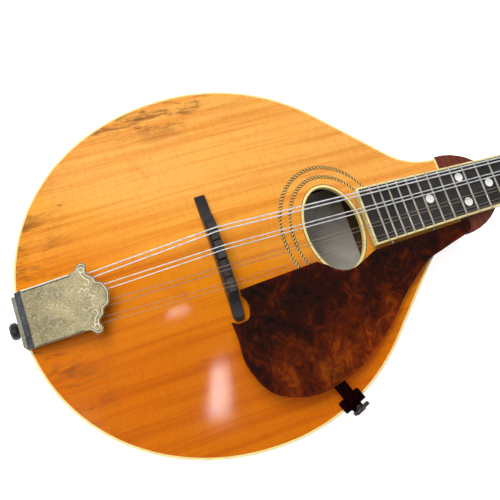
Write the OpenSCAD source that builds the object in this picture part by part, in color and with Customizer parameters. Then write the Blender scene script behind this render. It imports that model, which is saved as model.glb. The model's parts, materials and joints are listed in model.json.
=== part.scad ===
// Carved-top mandolin with a pear-shaped body, an oval soundhole and four pairs of strings.
// Design frame: x runs along the strings towards the head and is 0 under the bridge,
// y points to the bass side, and z points out of the top and is 0 at the top's edge.
// Every module is drawn in that frame, then moved so that the origin is at the middle of the
// instrument's length, on the plane that it lies on.

/* [Body] */
// Width of the body at the bridge
body_w = 249; // [240:1:258]
// Bridge to the tail end of the body
tail_len = 136; // [130:1:142]
// Bridge to the end of the body at the neck
front_len = 173; // [171:1:178]
// Radius of the rounded shoulders
shoulder_r = 137; // [130:1:142]
// Radius of the sweep from the shoulders into the neck
flare_r = 46; // [40:1:50]
// Half width of the body's end at the neck
neck_end_hw = 29.6; // [28:0.2:31]
// Depth of the sides
side_depth = 45; // [42:1:48]
// Rise of the carved top above its edge
top_arch = 11; // [9:0.5:12]
// Thickness of the carved top and back
plate_t = 3.6; // [3:0.2:4.4]
// Thickness of the sides
side_t = 2.4; // [2:0.1:3]
// Width of the binding round the top
binding_w = 1.6; // [1.2:0.1:2]

/* [Soundhole] */
// Bridge to the middle of the soundhole
hole_x = 78.5; // [77:0.5:80]
// Half length of the hole along the strings, outside its binding
hole_a = 22; // [20:0.5:22]
// Half width of the hole across the strings, outside its binding
hole_b = 32.4; // [30:0.4:34]
// Width of the hole's binding
hole_binding_w = 1.9; // [1.5:0.1:2.4]
// Width of each rope ring
rope_w = 2.6; // [2:0.1:3]

/* [Neck and fingerboard] */
// Bridge to nut
scale_len = 352.4; // [350:0.2:355]
// Angle of the strings' plane to the body
neck_angle = 4.5; // [4.2:0.1:4.8]
// Fingerboard's plane above the top's edge, at the bridge
board_rise = 20.9; // [20.5:0.1:21.5]
// Fingerboard's thickness
board_t = 5; // [4.6:0.2:5.4]
// Bridge to the fingerboard's free end
board_end_x = 100.9; // [100.6:0.1:101.4]
// Fingerboard's width at the last fret
board_w_end = 41.6; // [41:0.1:42]
// Fingerboard's width at the nut
nut_w = 30.3; // [29:0.1:31]
// Number of frets
fret_count = 20; // [17:1:20]
// Depth of the neck behind the fingerboard, at the nut
neck_depth = 15; // [14:0.5:17]

/* [Head and tuners] */
// Angle of the head to the fingerboard
head_pitch = 12; // [11:0.5:13]
// Length of the head
head_len = 138; // [134:1:142]
// Thickness of the head
head_t = 13; // [12:0.5:14]
// Distance between neighbouring tuners
tuner_gap = 23; // [22.5:0.1:23.5]
// Tuner rows' distance from the middle line
tuner_y = 17.5; // [17:0.1:18]
// Gear teeth, which are the turns of a key for one turn of its post
gear_teeth = 14; // [14:1:14]

/* [Strings and fittings] */
// Strings' height above the fingerboard's plane, at the bridge
string_rise = 4; // [3.6:0.1:4.4]
// Gap between the two strings of a pair
pair_gap = 2.7; // [2.4:0.1:2.8]
// Pickguard's thickness
guard_t = 2; // [1.8:0.1:2.2]

/* [Hidden] */

eps = 0.05;
spruce = "#d98b35";
maple = "#8a4a25";
mahogany = "#5a2418";
ebony = "#17140f";
cream = "#efe39a";
nickel = "#b9b596";
steel = "#c9c9c9";
tortoise = "#3a150a";
paper = "#a8a398";
bone = "#ece4cc";

// ---- Outline of the body ----
tail_power = 2.08;
line_sum = shoulder_r * sin(45) + body_w / 2 - shoulder_r * (1 - cos(45));
flare_x = line_sum - neck_end_hw - flare_r * (1 - cos(45)) + flare_r * sin(45);

// Half of the outline from the tail to the neck, drawn inside the real one by d
function half_outline(d, end_x) = concat(
    [for (a = [0:5:90]) [
        -(tail_len - d) * pow(abs(cos(a)), 2 / tail_power),
        (body_w / 2 - d) * pow(abs(sin(a)), 2 / tail_power)
    ]],
    [for (a = [5:5:45]) [
        (shoulder_r - d) * sin(a),
        body_w / 2 - shoulder_r + (shoulder_r - d) * cos(a)
    ]],
    [for (a = [45:-9:0]) [
        flare_x - (flare_r + d) * sin(a),
        neck_end_hw + flare_r - (flare_r + d) * cos(a)
    ]],
    [[end_x, neck_end_hw - d]]
);

function mirror_y(points) = [for (i = [len(points) - 1:-1:0]) [points[i][0], -points[i][1]]];

function outline(d = 0, end_x = front_len) =
    let (half = half_outline(d, end_x), back = mirror_y(half))
    concat([for (i = [1:len(half) - 1]) half[i]], [for (i = [0:len(back) - 1]) back[i]]);

// Half width of the body at a distance from the bridge
function half_width(x) =
    x < 0 ? body_w / 2 * pow(max(0, 1 - pow(-x / tail_len, tail_power)), 1 / tail_power)
    : x < shoulder_r * sin(45) ? body_w / 2 - shoulder_r + sqrt(pow(shoulder_r, 2) - pow(x, 2))
    : x < flare_x - flare_r * sin(45) ? line_sum - x
    : x < flare_x ? neck_end_hw + flare_r - sqrt(pow(flare_r, 2) - pow(flare_x - x, 2))
    : neck_end_hw;

// The arch's profile, from 1 at the crown to level at the edge, along and across the body
function profile(s) = pow(max(0, 0.5 + 0.5 * cos(180 * min(1, s / 0.94))), 0.85);
function arch(x, y) =
    profile(x < 0 ? -x / tail_len : x / front_len) * profile(abs(y) / max(half_width(x), 0.01));
function top_z(x, y) = top_arch * arch(x, y);
function back_z(x, y) = -plate_t - side_depth - back_arch * arch(x, y);

// ---- Frames of the neck and head ----
nut_t = 4.5;
head_x = scale_len + nut_t;
head_z = -board_t;
head_angle = neck_angle + head_pitch;
veneer_t = 1.5;

// Height of a point of the board's frame in the design frame
function board_to_z(x, z) = board_rise - x * sin(neck_angle) + z * cos(neck_angle);
head_tip_z = board_to_z(head_x, head_z) - head_len * sin(head_angle) - head_t * cos(head_angle);
// The back's crown and the head's tip lie on one plane
back_arch = -head_tip_z - 2 * plate_t - side_depth;
low_x = -tail_len - 10.4;
high_x = head_x * cos(neck_angle) + head_z * sin(neck_angle)
    + head_len * cos(head_angle) + veneer_t * sin(head_angle);
origin_shift = [-(low_x + high_x) / 2, 0, -head_tip_z];

module in_body() {
    translate(origin_shift) children();
}

module in_board() {
    in_body() translate([0, 0, board_rise]) rotate([0, neck_angle, 0]) children();
}

module in_head() {
    in_board() translate([head_x, 0, head_z]) rotate([0, head_pitch, 0]) children();
}

// ---- Shared shapes ----
module slab(points, z0, z1) {
    translate([0, 0, z0]) linear_extrude(z1 - z0) polygon(points);
}

function ellipse(x, a, b, steps = 60) =
    [for (i = [0:steps - 1]) [x + a * cos(360 * i / steps), b * sin(360 * i / steps)]];

module ellipse_ring(x, a, b, w, z0, z1) {
    difference() {
        slab(ellipse(x, a, b), z0, z1);
        slab(ellipse(x, a - w, b - w), z0 - 1, z1 + 1);
    }
}

// A rod between two points
module rod(p, q, r) {
    d = q - p;
    translate(p)
        rotate([0, acos(d[2] / norm(d)), atan2(d[1], d[0])])
            cylinder(h = norm(d), r = r, $fn = 24);
}

// A solid between a lower and an upper surface over a rectangle
module patch(x0, x1, y0, y1, nx, ny, low, high) {
    at = function(i, j) [x0 + (x1 - x0) * i / nx, y0 + (y1 - y0) * j / ny];
    n = (nx + 1) * (ny + 1);
    lower = [for (i = [0:nx]) for (j = [0:ny]) let (p = at(i, j)) [p[0], p[1], low(p[0], p[1])]];
    upper = [for (i = [0:nx]) for (j = [0:ny]) let (p = at(i, j)) [p[0], p[1], high(p[0], p[1])]];
    id = function(i, j) i * (ny + 1) + j;
    cells = [for (i = [0:nx - 1]) for (j = [0:ny - 1])
        [id(i, j), id(i + 1, j), id(i + 1, j + 1), id(i, j + 1)]];
    rim = concat(
        [for (i = [0:nx - 1]) id(i, 0)], [for (j = [0:ny - 1]) id(nx, j)],
        [for (i = [nx:-1:1]) id(i, ny)], [for (j = [ny:-1:1]) id(0, j)]
    );
    m = len(rim);
    faces = concat(
        [for (c = cells) [c[0], c[1], c[2]]],
        [for (c = cells) [c[0], c[2], c[3]]],
        [for (c = cells) [n + c[0], n + c[2], n + c[1]]],
        [for (c = cells) [n + c[0], n + c[3], n + c[2]]],
        [for (i = [0:m - 1]) [rim[i], n + rim[(i + 1) % m], rim[(i + 1) % m]]],
        [for (i = [0:m - 1]) [rim[i], n + rim[i], n + rim[(i + 1) % m]]]
    );
    polyhedron(concat(lower, upper), faces);
}

// ---- The body's shell ----
crown_steps = [0.04, 0.14, 0.25, 0.36, 0.47, 0.57, 0.67, 0.76, 0.84, 0.9, 0.95, 1];

// Nested copies of a plate's edge, each raised to the arch's height
function plate_loops(edge, rise, z) = [
    for (s = crown_steps) for (p = edge) [p[0] * s, p[1] * s, z + rise * arch(p[0] * s, p[1] * s)]
];

// A carved plate between two heights at its edge, its middle raised by rise
module carved_plate(edge, rise, z_low, z_high) {
    n = len(edge);
    k = len(crown_steps);
    m = n * k;
    points = concat(
        plate_loops(edge, rise, z_high), plate_loops(edge, rise, z_low),
        [[0, 0, z_high + rise], [0, 0, z_low + rise]]
    );
    // Corner indices: loop j, its point i and the next one, and the same on the loop outside it
    cells = [for (j = [0:k - 2]) for (i = [0:n - 1])
        [j * n + i, j * n + (i + 1) % n, (j + 1) * n + i, (j + 1) * n + (i + 1) % n]];
    rim = [for (i = [0:n - 1]) [m - n + i, m - n + (i + 1) % n]];
    faces = concat(
        [for (i = [0:n - 1]) [2 * m, i, (i + 1) % n]],
        [for (c = cells) [c[0], c[2], c[3]]],
        [for (c = cells) [c[0], c[3], c[1]]],
        [for (i = [0:n - 1]) [2 * m + 1, m + (i + 1) % n, m + i]],
        [for (c = cells) [m + c[0], m + c[3], m + c[2]]],
        [for (c = cells) [m + c[0], m + c[1], m + c[3]]],
        [for (r = rim) [r[1], r[0], m + r[0]]],
        [for (r = rim) [r[1], m + r[0], m + r[1]]]
    );
    polyhedron(points, faces);
}

module top_plate() {
    color(spruce) in_body() difference() {
        carved_plate(outline(binding_w, front_len - binding_w), top_arch, -plate_t, 0);
        slab(ellipse(hole_x, hole_a, hole_b), -10, 20);
    }
}

module back_plate() {
    z = -plate_t - side_depth;
    color(maple) in_body() carved_plate(outline(), -back_arch, z - plate_t, z);
}

module side(sign) {
    z1 = -plate_t;
    color(maple) in_body() intersection() {
        difference() {
            slab(outline(), z1 - side_depth, z1);
            slab(outline(side_t, front_len + 1), z1 - side_depth - 1, z1 + 1);
            translate([-200, 0, pin_z]) rotate([0, 90, 0]) cylinder(h = 100, r = pin_r);
        }
        translate([-200, sign > 0 ? 0 : -200, -100]) cube([400, 200, 200]);
    }
}

module bass_side() {
    side(1);
}

module treble_side() {
    side(-1);
}

block_front_x = 143;
block_tail_x = -118;
lining_w = 5;
lining_h = 7;

module lining(z0) {
    intersection() {
        difference() {
            slab(outline(side_t, front_len + 1), z0, z0 + lining_h);
            slab(outline(side_t + lining_w, front_len + 2), z0 - 1, z0 + lining_h + 1);
        }
        translate([block_tail_x, -200, -100]) cube([block_front_x - block_tail_x, 400, 200]);
    }
}

module linings() {
    color(bone) in_body() {
        lining(-plate_t - lining_h);
        lining(-plate_t - side_depth);
    }
}

tenon_w = 18;
tenon_len = 12;

module neck_block() {
    color(mahogany) in_body() difference() {
        intersection() {
            slab(outline(side_t, front_len), -plate_t - side_depth, -plate_t);
            translate([block_front_x, -50, -100]) cube([60, 100, 200]);
        }
        translate([front_len - tenon_len, -tenon_w / 2, -plate_t - side_depth + 8])
            cube([tenon_len + 1, tenon_w, side_depth]);
    }
}

pin_r = 3.9;
pin_z = -plate_t - side_depth * 0.45;

module tail_block() {
    color(mahogany) in_body() difference() {
        intersection() {
            slab(outline(side_t, front_len), -plate_t - side_depth, -plate_t);
            translate([-200, -30, -100]) cube([200 + block_tail_x, 60, 200]);
        }
        translate([-200, 0, pin_z]) rotate([0, 90, 0]) cylinder(h = 100, r = pin_r);
    }
}

brace_x = 47;
brace_w = 6;
brace_h = 11;

module cross_brace() {
    half = 88;
    under = function(y) min(top_z(brace_x, y), top_z(brace_x + brace_w, y)) - plate_t - eps;
    rounded = function(y) brace_h * pow(cos(90 * y / (half + 6)), 0.6);
    points = concat(
        [for (y = [-half:8:half]) [y, under(y)]],
        [for (y = [half:-8:-half]) [y, under(y) - rounded(y)]]
    );
    color(spruce) in_body() translate([brace_x, 0, 0])
        rotate([90, 0, 90]) linear_extrude(brace_w) polygon(points);
}

module top_binding() {
    color(cream) in_body() difference() {
        slab(outline(), -plate_t, 0);
        slab(outline(binding_w, front_len - binding_w), -plate_t - 1, 1);
    }
}

module soundhole_binding() {
    color(cream) in_body() intersection() {
        ellipse_ring(hole_x, hole_a, hole_b, hole_binding_w, -4, 12);
        patch(hole_x - hole_a - 1, hole_x + hole_a + 1, -hole_b - 1, hole_b + 1, 10, 12,
            function(x, y) top_z(x, y) - plate_t, function(x, y) top_z(x, y) + 0.2);
    }
}

rope_a = [38.6, 31.7];
rope_b = [47.3, 40];
rope_h = 0.12;

// A flat strip along an ellipse that lies on the top; it ends at the fingerboard's sides
module rope_ring(a, b) {
    first = asin((board_w_end / 2 + 0.6) / (b - rope_w));
    steps = 56;
    loops = [for (i = [0:steps])
        let (t = first + (360 - 2 * first) * i / steps)
        [for (k = [[0, -eps], [rope_w, -eps], [rope_w, rope_h], [0, rope_h]])
            let (x = hole_x + (a - k[0]) * cos(t), y = (b - k[0]) * sin(t))
                [x, y, top_z(x, y) + k[1] + 0.12]]];
    m = len(loops);
    points = [for (loop = loops) each loop];
    faces = concat(
        [[0, 1, 2], [0, 2, 3], [4 * m - 4, 4 * m - 2, 4 * m - 3], [4 * m - 4, 4 * m - 1, 4 * m - 2]],
        [for (j = [0:m - 2]) for (i = [0:3])
            [j * 4 + i, (j + 1) * 4 + i, (j + 1) * 4 + (i + 1) % 4]],
        [for (j = [0:m - 2]) for (i = [0:3])
            [j * 4 + i, (j + 1) * 4 + (i + 1) % 4, j * 4 + (i + 1) % 4]]
    );
    polyhedron(points, faces);
}

module rope_rings() {
    color(ebony) in_body() for (i = [0, 1]) rope_ring(rope_a[i], rope_b[i]);
}

module paper_label() {
    color(paper) in_body()
        patch(52, 112, -46, 42, 8, 10,
            function(x, y) back_z(x, y) + 0.56, function(x, y) back_z(x, y) + 0.86);
}

// ---- Neck ----
heel_hw = 31;
heel_len = 38;
heel_cap_z = -plate_t - side_depth - plate_t;
shaft_x = front_len + 3;

// One level of the heel: a half ellipse that shrinks on its way down to the heel cap
function heel_level(t) =
    let (
        z = -0.6 + t * (heel_cap_z + 0.6),
        hw = heel_hw - (heel_hw - 14) * pow(t, 0.55),
        len = heel_len - (heel_len - 21) * pow(t, 0.45)
    )
    [for (a = [-90:10:90]) [front_len + len * cos(a), hw * sin(a), z]];

module heel() {
    levels = [for (t = [0:0.1:1]) heel_level(t)];
    n = len(levels[0]);
    m = len(levels);
    points = [for (level = levels) each level];
    faces = concat(
        [[for (i = [n - 1:-1:0]) i], [for (i = [0:n - 1]) (m - 1) * n + i]],
        [for (j = [0:m - 2]) for (i = [0:n - 1])
            [j * n + i, j * n + (i + 1) % n, (j + 1) * n + (i + 1) % n]],
        [for (j = [0:m - 2]) for (i = [0:n - 1])
            [j * n + i, (j + 1) * n + (i + 1) % n, (j + 1) * n + i]]
    );
    polyhedron(points, faces);
}

function board_w(x) = nut_w + (board_w_end - nut_w) * (scale_len - x) / (scale_len - fret_x(20));
function fret_x(n) = scale_len / pow(2, n / 12);

// A thin slice of the neck's rounded back, in the board's frame
module neck_slice(x, w, depth) {
    translate([x, 0, -board_t]) rotate([90, 0, 90]) linear_extrude(0.5)
        polygon([for (a = [180:10:360]) [
            w / 2 * sign(cos(a)) * pow(abs(cos(a)), 0.75),
            -depth * pow(abs(sin(a)), 0.9)
        ]]);
}

// Half of the head's outline, from the nut to the tip
head_half = [
    [0, 15.6], [7, 16.4], [15, 22], [22, 29], [30, 32], [62, 33], [96, 35], [118, 38],
    [128, 38], [133, 33], [130.5, 25], [132, 17], [136, 9], [138, 0]
];

module head_slab(z0, z1) {
    k = head_len / 138;
    half = [for (p = head_half) [p[0] * k, p[1]]];
    points = concat(half, [for (i = [len(half) - 2:-1:0]) [half[i][0], -half[i][1]]]);
    slab(points, z0, z1);
}

module neck() {
    color(mahogany) difference() {
        union() {
            in_body() heel();
            in_body()
                translate([front_len - tenon_len + 0.1, -tenon_w / 2 + 0.1, -plate_t - side_depth + 8.1])
                    cube([tenon_len, tenon_w - 0.2, side_depth - 9]);
            in_board() hull() {
                neck_slice(shaft_x, board_w(shaft_x), neck_depth + 4);
                neck_slice(scale_len + nut_t - 0.5, nut_w, neck_depth);
            }
            hull() {
                in_board() translate([0, 0, -0.4])
                    neck_slice(scale_len + nut_t - 2, nut_w - 1, neck_depth - 1);
                in_head() translate([6, -16.2, -head_t]) cube([1, 32.4, head_t]);
            }
            in_head() intersection() {
                head_slab(-head_t, 0);
                translate([0.6, -60, -50]) cube([200, 120, 100]);
            }
        }
        in_body() translate([front_len - 60, -60, -0.5]) cube([60, 120, 60]);
        in_head() tuner_holes(tuner_hole_r);
    }
}

module board_riser() {
    color(mahogany) in_body()
        patch(board_end_x + 2, shaft_x - 1.3, -19.6, 19.6, 12, 6,
            function(x, y) (x > front_len - 2 ? 0 : top_z(x, y)) + eps,
            function(x, y) board_rise - x * tan(neck_angle) - board_t / cos(neck_angle) - 0.02);
}

strip_w = 1.5;

function board_points(inset, x0, x1) = [
    [x0, board_w(x0) / 2 - inset], [x1, board_w(x1) / 2 - inset],
    [x1, -board_w(x1) / 2 + inset], [x0, -board_w(x0) / 2 + inset]
];

dot_r = 3.2;
dot_h = 0.6;
// Fret space of each dot and its distance from the middle line, as a share of the string spread
dots = [[5, 0], [7, 0], [10, 0], [12, 1], [12, -1], [15, 0]];

module each_dot() {
    for (d = dots)
        translate([(fret_x(d[0]) + fret_x(d[0] - 1)) / 2, d[1] * 9.6, 0]) children();
}

module fingerboard() {
    color(ebony) in_board() difference() {
        slab(board_points(strip_w, board_end_x + strip_w, scale_len), -board_t, 0);
        each_dot() translate([0, 0, -dot_h]) cylinder(h = 1, r = dot_r, $fn = 32);
    }
}

module board_binding() {
    color(cream) in_board() difference() {
        slab(board_points(0, board_end_x, scale_len), -board_t, 0);
        slab(board_points(strip_w, board_end_x + strip_w, scale_len + 1), -board_t - 1, 1);
    }
}

fret_r = 0.75;

module frets() {
    color(steel) in_board() for (n = [1:fret_count]) {
        x = fret_x(n);
        difference() {
            translate([x, -board_w(x) / 2 + 0.4, -0.1]) rotate([-90, 0, 0])
                cylinder(h = board_w(x) - 0.8, r = fret_r, $fn = 16);
            translate([x - 2, -50, -4]) cube([4, 100, 4.02]);
        }
    }
}

module position_dots() {
    color(bone) in_board() each_dot() translate([0, 0, -dot_h]) cylinder(h = dot_h, r = dot_r, $fn = 32);
}

// ---- Courses of strings ----
// Each course: its middle at the bridge, its middle at the nut, its radius, its crest, its first post
courses = [
    [17.3, 12, 0.5, -3.2], [4.6, 3.9, 0.38, -2.2], [-8.5, -5.6, 0.2, -4.4], [-19.4, -12.2, 0.15, -3.2]
];
nut_gap = 2.2;
nut_top = 1.1;
hook_x = -116;
hook_z = 6.4;

// String k of a course (-1 or 1): its points in the design frame
function string_y(c, k) = courses[c][0] + k * pair_gap / 2;
function crest_point(c, k) = [courses[c][3], string_y(c, k), string_rise];
function nut_point(c, k) = [scale_len, courses[c][1] + k * nut_gap / 2, nut_top];
function board_to_body(p) = [
    p[0] * cos(neck_angle) + p[2] * sin(neck_angle), p[1], board_to_z(p[0], p[2])
];
function head_to_board(p) = [
    head_x + p[0] * cos(head_pitch) + p[2] * sin(head_pitch), p[1],
    head_z - p[0] * sin(head_pitch) + p[2] * cos(head_pitch)
];

slot_gap = 0.12;
nut_h = board_t + nut_top + 1.4;

module nut() {
    color(bone) in_board() difference() {
        translate([scale_len, -nut_w / 2, -board_t]) cube([nut_t, nut_w, nut_h - 0.8]);
        for (c = [0:3]) for (k = [-1, 1]) {
            p = nut_point(c, k);
            translate([p[0] - 1, p[1], p[2]]) rotate([0, 90, 0])
                cylinder(h = nut_t + 2, r = courses[c][2] + slot_gap, $fn = 16);
            translate([p[0] - 1, p[1] - courses[c][2] - slot_gap, p[2]])
                cube([nut_t + 2, 2 * (courses[c][2] + slot_gap), 4]);
        }
    }
}

module head_veneer() {
    color(ebony) in_head() difference() {
        intersection() {
            head_slab(0, veneer_t);
            translate([1, -60, -10]) cube([200, 120, 20]);
        }
        tuner_holes(bushing_r);
    }
}

// ---- Bridge ----
bridge_y0 = -41.5;
bridge_y1 = 46;
bridge_x0 = -8.2;
bridge_x1 = -0.9;
saddle_base_z = 18.6;

module bridge_base() {
    foot = function(y) top_z(-4.5, y) + eps;
    // Points along the upper edge: height above the foot at the ends, level in the middle
    upper = [
        [bridge_y1, foot(bridge_y1) + 3.2], [32, foot(32) + 4.2], [28.5, foot(28) + 7.4],
        [25, saddle_base_z],
        [-24.5, saddle_base_z], [-27, saddle_base_z - 3.4], [-30, foot(-30) + 4.6],
        [-34, foot(-34) + 3.4], [-39, foot(-39) + 3.2], [bridge_y0, foot(bridge_y0) + 2.2]
    ];
    points = concat([for (y = [bridge_y0:3.5:bridge_y1]) [y, foot(y)]], upper);
    color(ebony) in_body() intersection() {
        translate([bridge_x0, 0, 0]) rotate([90, 0, 90])
            linear_extrude(bridge_x1 - bridge_x0) polygon(points);
        union() {
            translate([bridge_x0 - 1, -38, 0]) cube([20, 100, 40]);
            translate([(bridge_x0 + bridge_x1) / 2, -38, 0])
                cylinder(h = 40, r = (bridge_x1 - bridge_x0) / 2);
        }
    }
}

saddle_w = [12.2, 12.4, 11.6, 9.6];

// One saddle insert under each pair of strings, with its crest where the pair needs it
module bridge_saddles() {
    color(ebony) in_body() for (c = [0:3]) {
        x = courses[c][3];
        z = board_to_body(crest_point(c, 0))[2] - courses[c][2] - 0.02;
        points = [
            [-7, saddle_base_z + eps], [-1.6, saddle_base_z + eps], [-1.6, z - 1.6], [x, z], [-7, z - 2]
        ];
        translate([0, courses[c][0] + saddle_w[c] / 2, 0]) rotate([90, 0, 0])
            linear_extrude(saddle_w[c] - 0.3) polygon(points);
    }
}

// ---- Tailpiece ----
base_hw = 16.5;
base_z = 2.4;
wall_x = -tail_len - 0.05;
sheet = 0.9;

module tailpiece_base() {
    color(nickel) in_body() {
        difference() {
            union() {
                translate([wall_x - sheet, -base_hw, base_z]) cube([32, 2 * base_hw, sheet]);
                translate([wall_x - sheet, -base_hw, -38]) cube([sheet, 2 * base_hw, 38 + base_z + sheet]);
                for (s = [-1, 1])
                    translate([wall_x + 6, s > 0 ? base_hw - sheet : -base_hw, base_z + sheet - 0.1])
                        cube([25, sheet, 1.6]);
            }
            translate([wall_x - 5, 0, pin_z]) rotate([0, 90, 0]) cylinder(h = 10, r = pin_r + 0.2);
            each_tail_screw() cylinder(h = 10, r = 1.2, center = true, $fn = 24);
        }
        for (c = [0:3]) for (k = [-1, 1]) {
            y = string_y_tail(c, k);
            rod([hook_x, y, base_z + sheet - 0.2], [hook_x - 1.2, y, hook_z + 1.6], 0.7);
        }
    }
}

// Each course's middle at the hooks
tail_y = [13.6, 4.6, -4.6, -13.6];
function string_y_tail(c, k) = tail_y[c] + k * 1.9;

module each_tail_screw() {
    for (p = [[-11, -9], [11, -9], [-11, -32], [11, -32]])
        translate([wall_x, p[0], p[1]]) rotate([0, 90, 0]) children();
}

cover_hw = 18.6;
cover_x0 = -134.6;
cover_bend_x = -130.2;
cover_side_x = -99;
cover_tip_x = -78.3;
cover_z = function(x) 6.6 + (x - cover_bend_x) * (17 - 6.6) / (cover_tip_x - cover_bend_x);

// Half of the cover's front outline: a round ear, then scallops up to the tip
cover_front = [
    [-97.6, 18.9], [-95.8, 19.3], [-94.1, 20.6], [-92.8, 22.3], [-90.6, 23.1], [-88.4, 22.3],
    [-87.2, 20], [-87.6, 17.3], [-87.8, 15], [-86.4, 12.6], [-84.9, 10.3], [-82.7, 8.8],
    [-80.8, 6.8], [-79.1, 4.7], [-78.5, 2.3], [-78.3, 0]
];

module cover_outline() {
    half = concat([[cover_x0, cover_hw], [cover_side_x, cover_hw]], cover_front);
    polygon(concat(half, [for (i = [len(half) - 2:-1:0]) [half[i][0], -half[i][1]]]));
}

module tailpiece_cover() {
    skin = [
        [cover_x0, 3.6], [cover_bend_x, cover_z(cover_bend_x)],
        [cover_tip_x + 1, cover_z(cover_tip_x + 1)], [cover_tip_x + 1, cover_z(cover_tip_x + 1) - sheet],
        [cover_bend_x + 0.4, cover_z(cover_bend_x) - sheet], [cover_x0 + 1.1, 3.6]
    ];
    wall = [
        [cover_x0, 3.6], [cover_bend_x, cover_z(cover_bend_x) - 0.2],
        [cover_side_x, cover_z(cover_side_x) - 0.2], [cover_side_x, 6], [cover_side_x - 8, 3.6]
    ];
    color(nickel) in_body() {
        intersection() {
            translate([0, 30, 0]) rotate([90, 0, 0]) linear_extrude(60) polygon(skin);
            translate([0, 0, -10]) linear_extrude(60) cover_outline();
        }
        for (s = [-1, 1])
            translate([0, s > 0 ? cover_hw : -cover_hw + sheet, 0]) rotate([90, 0, 0])
                linear_extrude(sheet) polygon(wall);
    }
}

module end_pin() {
    color(ebony) in_body() translate([wall_x - sheet, 0, pin_z]) rotate([0, -90, 0])
        rotate_extrude($fn = 48) polygon([
            [0, -16], [pin_r - 0.02, -16], [pin_r - 0.02, 3.4], [5.9, 5], [6, 7.6], [4.6, 9.2], [0, 9.4]
        ]);
}

// ---- Pickguard and its clamp ----
guard_drop = 3.4;
guard_tilt = 3.4;
guard_hinge_y = -21;

// The guard's plane leans down from the strings to the body's edge
module on_guard() {
    in_board() translate([0, guard_hinge_y, -guard_drop]) rotate([guard_tilt, 0, 0])
        translate([0, -guard_hinge_y, 0]) children();
}

// The guard's outer edge from the neck round to the bridge
guard_rim = [
    [178.5, -20.9], [178.2, -26.5], [176, -29.2], [171, -31.2], [160, -34], [149, -37], [137, -40.6],
    [122, -50.2], [108, -61], [96.5, -72.2], [86.5, -79.6], [66, -92.6], [43, -100.2], [26, -101], [13, -98],
    [2, -92], [-5, -82.6], [-10, -68], [-10, -52], [-11, -41.4]
];
// Round the treble foot of the bridge
guard_notch = [[-7, -43.6], [-3.4, -43.6], [0.8, -42.2], [3, -37.4], [3.2, -32], [0.8, -27.2]];

module pickguard() {
    // Clear of the soundhole: an arc outside the hole's binding
    arc = [for (t = [-128:7:-72]) [hole_x + 20 * cos(t) * 1.16, 31 * sin(t)]];
    points = concat(
        [[0.6, -23.2], [57, -19.7]], [for (p = arc) if (p[1] < -22) p],
        [[100.6, -23.2]], guard_rim, guard_notch
    );
    color(tortoise) on_guard() slab(points, -guard_t, 0);
}

clamp_x = 51;
clamp_turn = asin(clamp_x / shoulder_r);
clamp_y = -(body_w / 2 - shoulder_r + sqrt(pow(shoulder_r, 2) - pow(clamp_x, 2)));

// The clamp's frame: origin on the body's treble edge, y inwards and x along the edge
module at_clamp() {
    in_body() translate([clamp_x, clamp_y, 0]) rotate([0, 0, clamp_turn]) children();
}

arm_w = 8;
arm_t = 3;
foot_hw = 8;
tongue_hw = 3.4;
foot_z = 0.3;
foot_h = 4.5;
foot_out = 6.8;
foot_in = 6.5;
rod_y = -4.2;
rod_r = 1.3;
rod_gap = 0.06;
bar_half = 6;
jaw_travel = 4;
jaw_t = 3;
jaw_hw = 6;

module guard_arm() {
    color(ebony) difference() {
        union() {
            at_clamp() translate([-foot_hw, -1.4, foot_z]) cube([2 * foot_hw, foot_in + 1.4, foot_h]);
            at_clamp() translate([-tongue_hw, -foot_out, foot_z]) cube([2 * tongue_hw, foot_out, foot_h]);
            at_clamp() translate([-arm_w / 2, 2.4, foot_h]) cube([arm_w, foot_in - 2.4, 3]);
            intersection() {
                on_guard() translate([-50, -200, -guard_t - arm_t - eps]) cube([300, 250, arm_t]);
                at_clamp() translate([-arm_w / 2, 2.4, 0]) cube([arm_w, 72, 40]);
            }
        }
        at_clamp() translate([0, rod_y, -1]) cylinder(h = 20, r = rod_r + rod_gap, $fn = 32);
    }
}

pin_x = [116, 150];
guard_pin_r = 0.9;

module guard_pins() {
    z = -guard_t - guard_pin_r - eps;
    color(nickel) on_guard() for (x = pin_x) rod([x, -19.9, z], [x, -31, z], guard_pin_r);
}

jaw_z = -2 * plate_t - side_depth - 0.3;

// The jaw: a pad just below the back's edge, and a lug on each side of the screw
module clamp_jaw() {
    lug_x = rod_r + 0.12;
    pad_y = rod_y + rod_r + 0.2;
    color(nickel) at_clamp() {
        translate([-jaw_hw, pad_y, jaw_z - jaw_t]) cube([2 * jaw_hw, 5.6 - pad_y, jaw_t]);
        for (x = [-jaw_hw, lug_x])
            translate([x, -foot_out, jaw_z - jaw_t]) cube([jaw_hw - lug_x, foot_out + pad_y - 0.04, 9]);
    }
}

// A screw with a thumb bar on top of the foot; it reaches through the jaw at the end of its travel
module clamp_screw() {
    low = jaw_z - jaw_t - jaw_travel - 0.6;
    top = foot_z + foot_h + 0.1;
    color(nickel) at_clamp() translate([0, rod_y, 0]) {
        translate([0, 0, low]) cylinder(h = top - low + 0.6, r = rod_r, $fn = 32);
        translate([0, 0, top]) cylinder(h = 1.4, r = 2.5, $fn = 32);
        translate([-bar_half, -1, top + 1.2]) cube([2 * bar_half, 2, 3.6]);
    }
}

// ---- Tuners ----
gear_r = 5.3;
gear_root_r = 4.5;
gear_h = 3;
plate_sheet = 1.2;
worm_r = 2.9;
worm_core_r = 2.3;
mesh_gap = gear_r + worm_core_r + 0.25;
worm_pitch = 2 * PI * 5 / gear_teeth;
worm_len = 6.4;
// Turns the thread so that it stands in a gap between two gear teeth
worm_phase = 180 - 180 * worm_len / worm_pitch;
key_z = -head_t - plate_sheet - worm_r - 0.3;
shaft_r = 1.6;
post_r = 2.9;
tuner_hole_r = 3.4;
bushing_r = 4.4;
first_tuner = 27;

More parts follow.
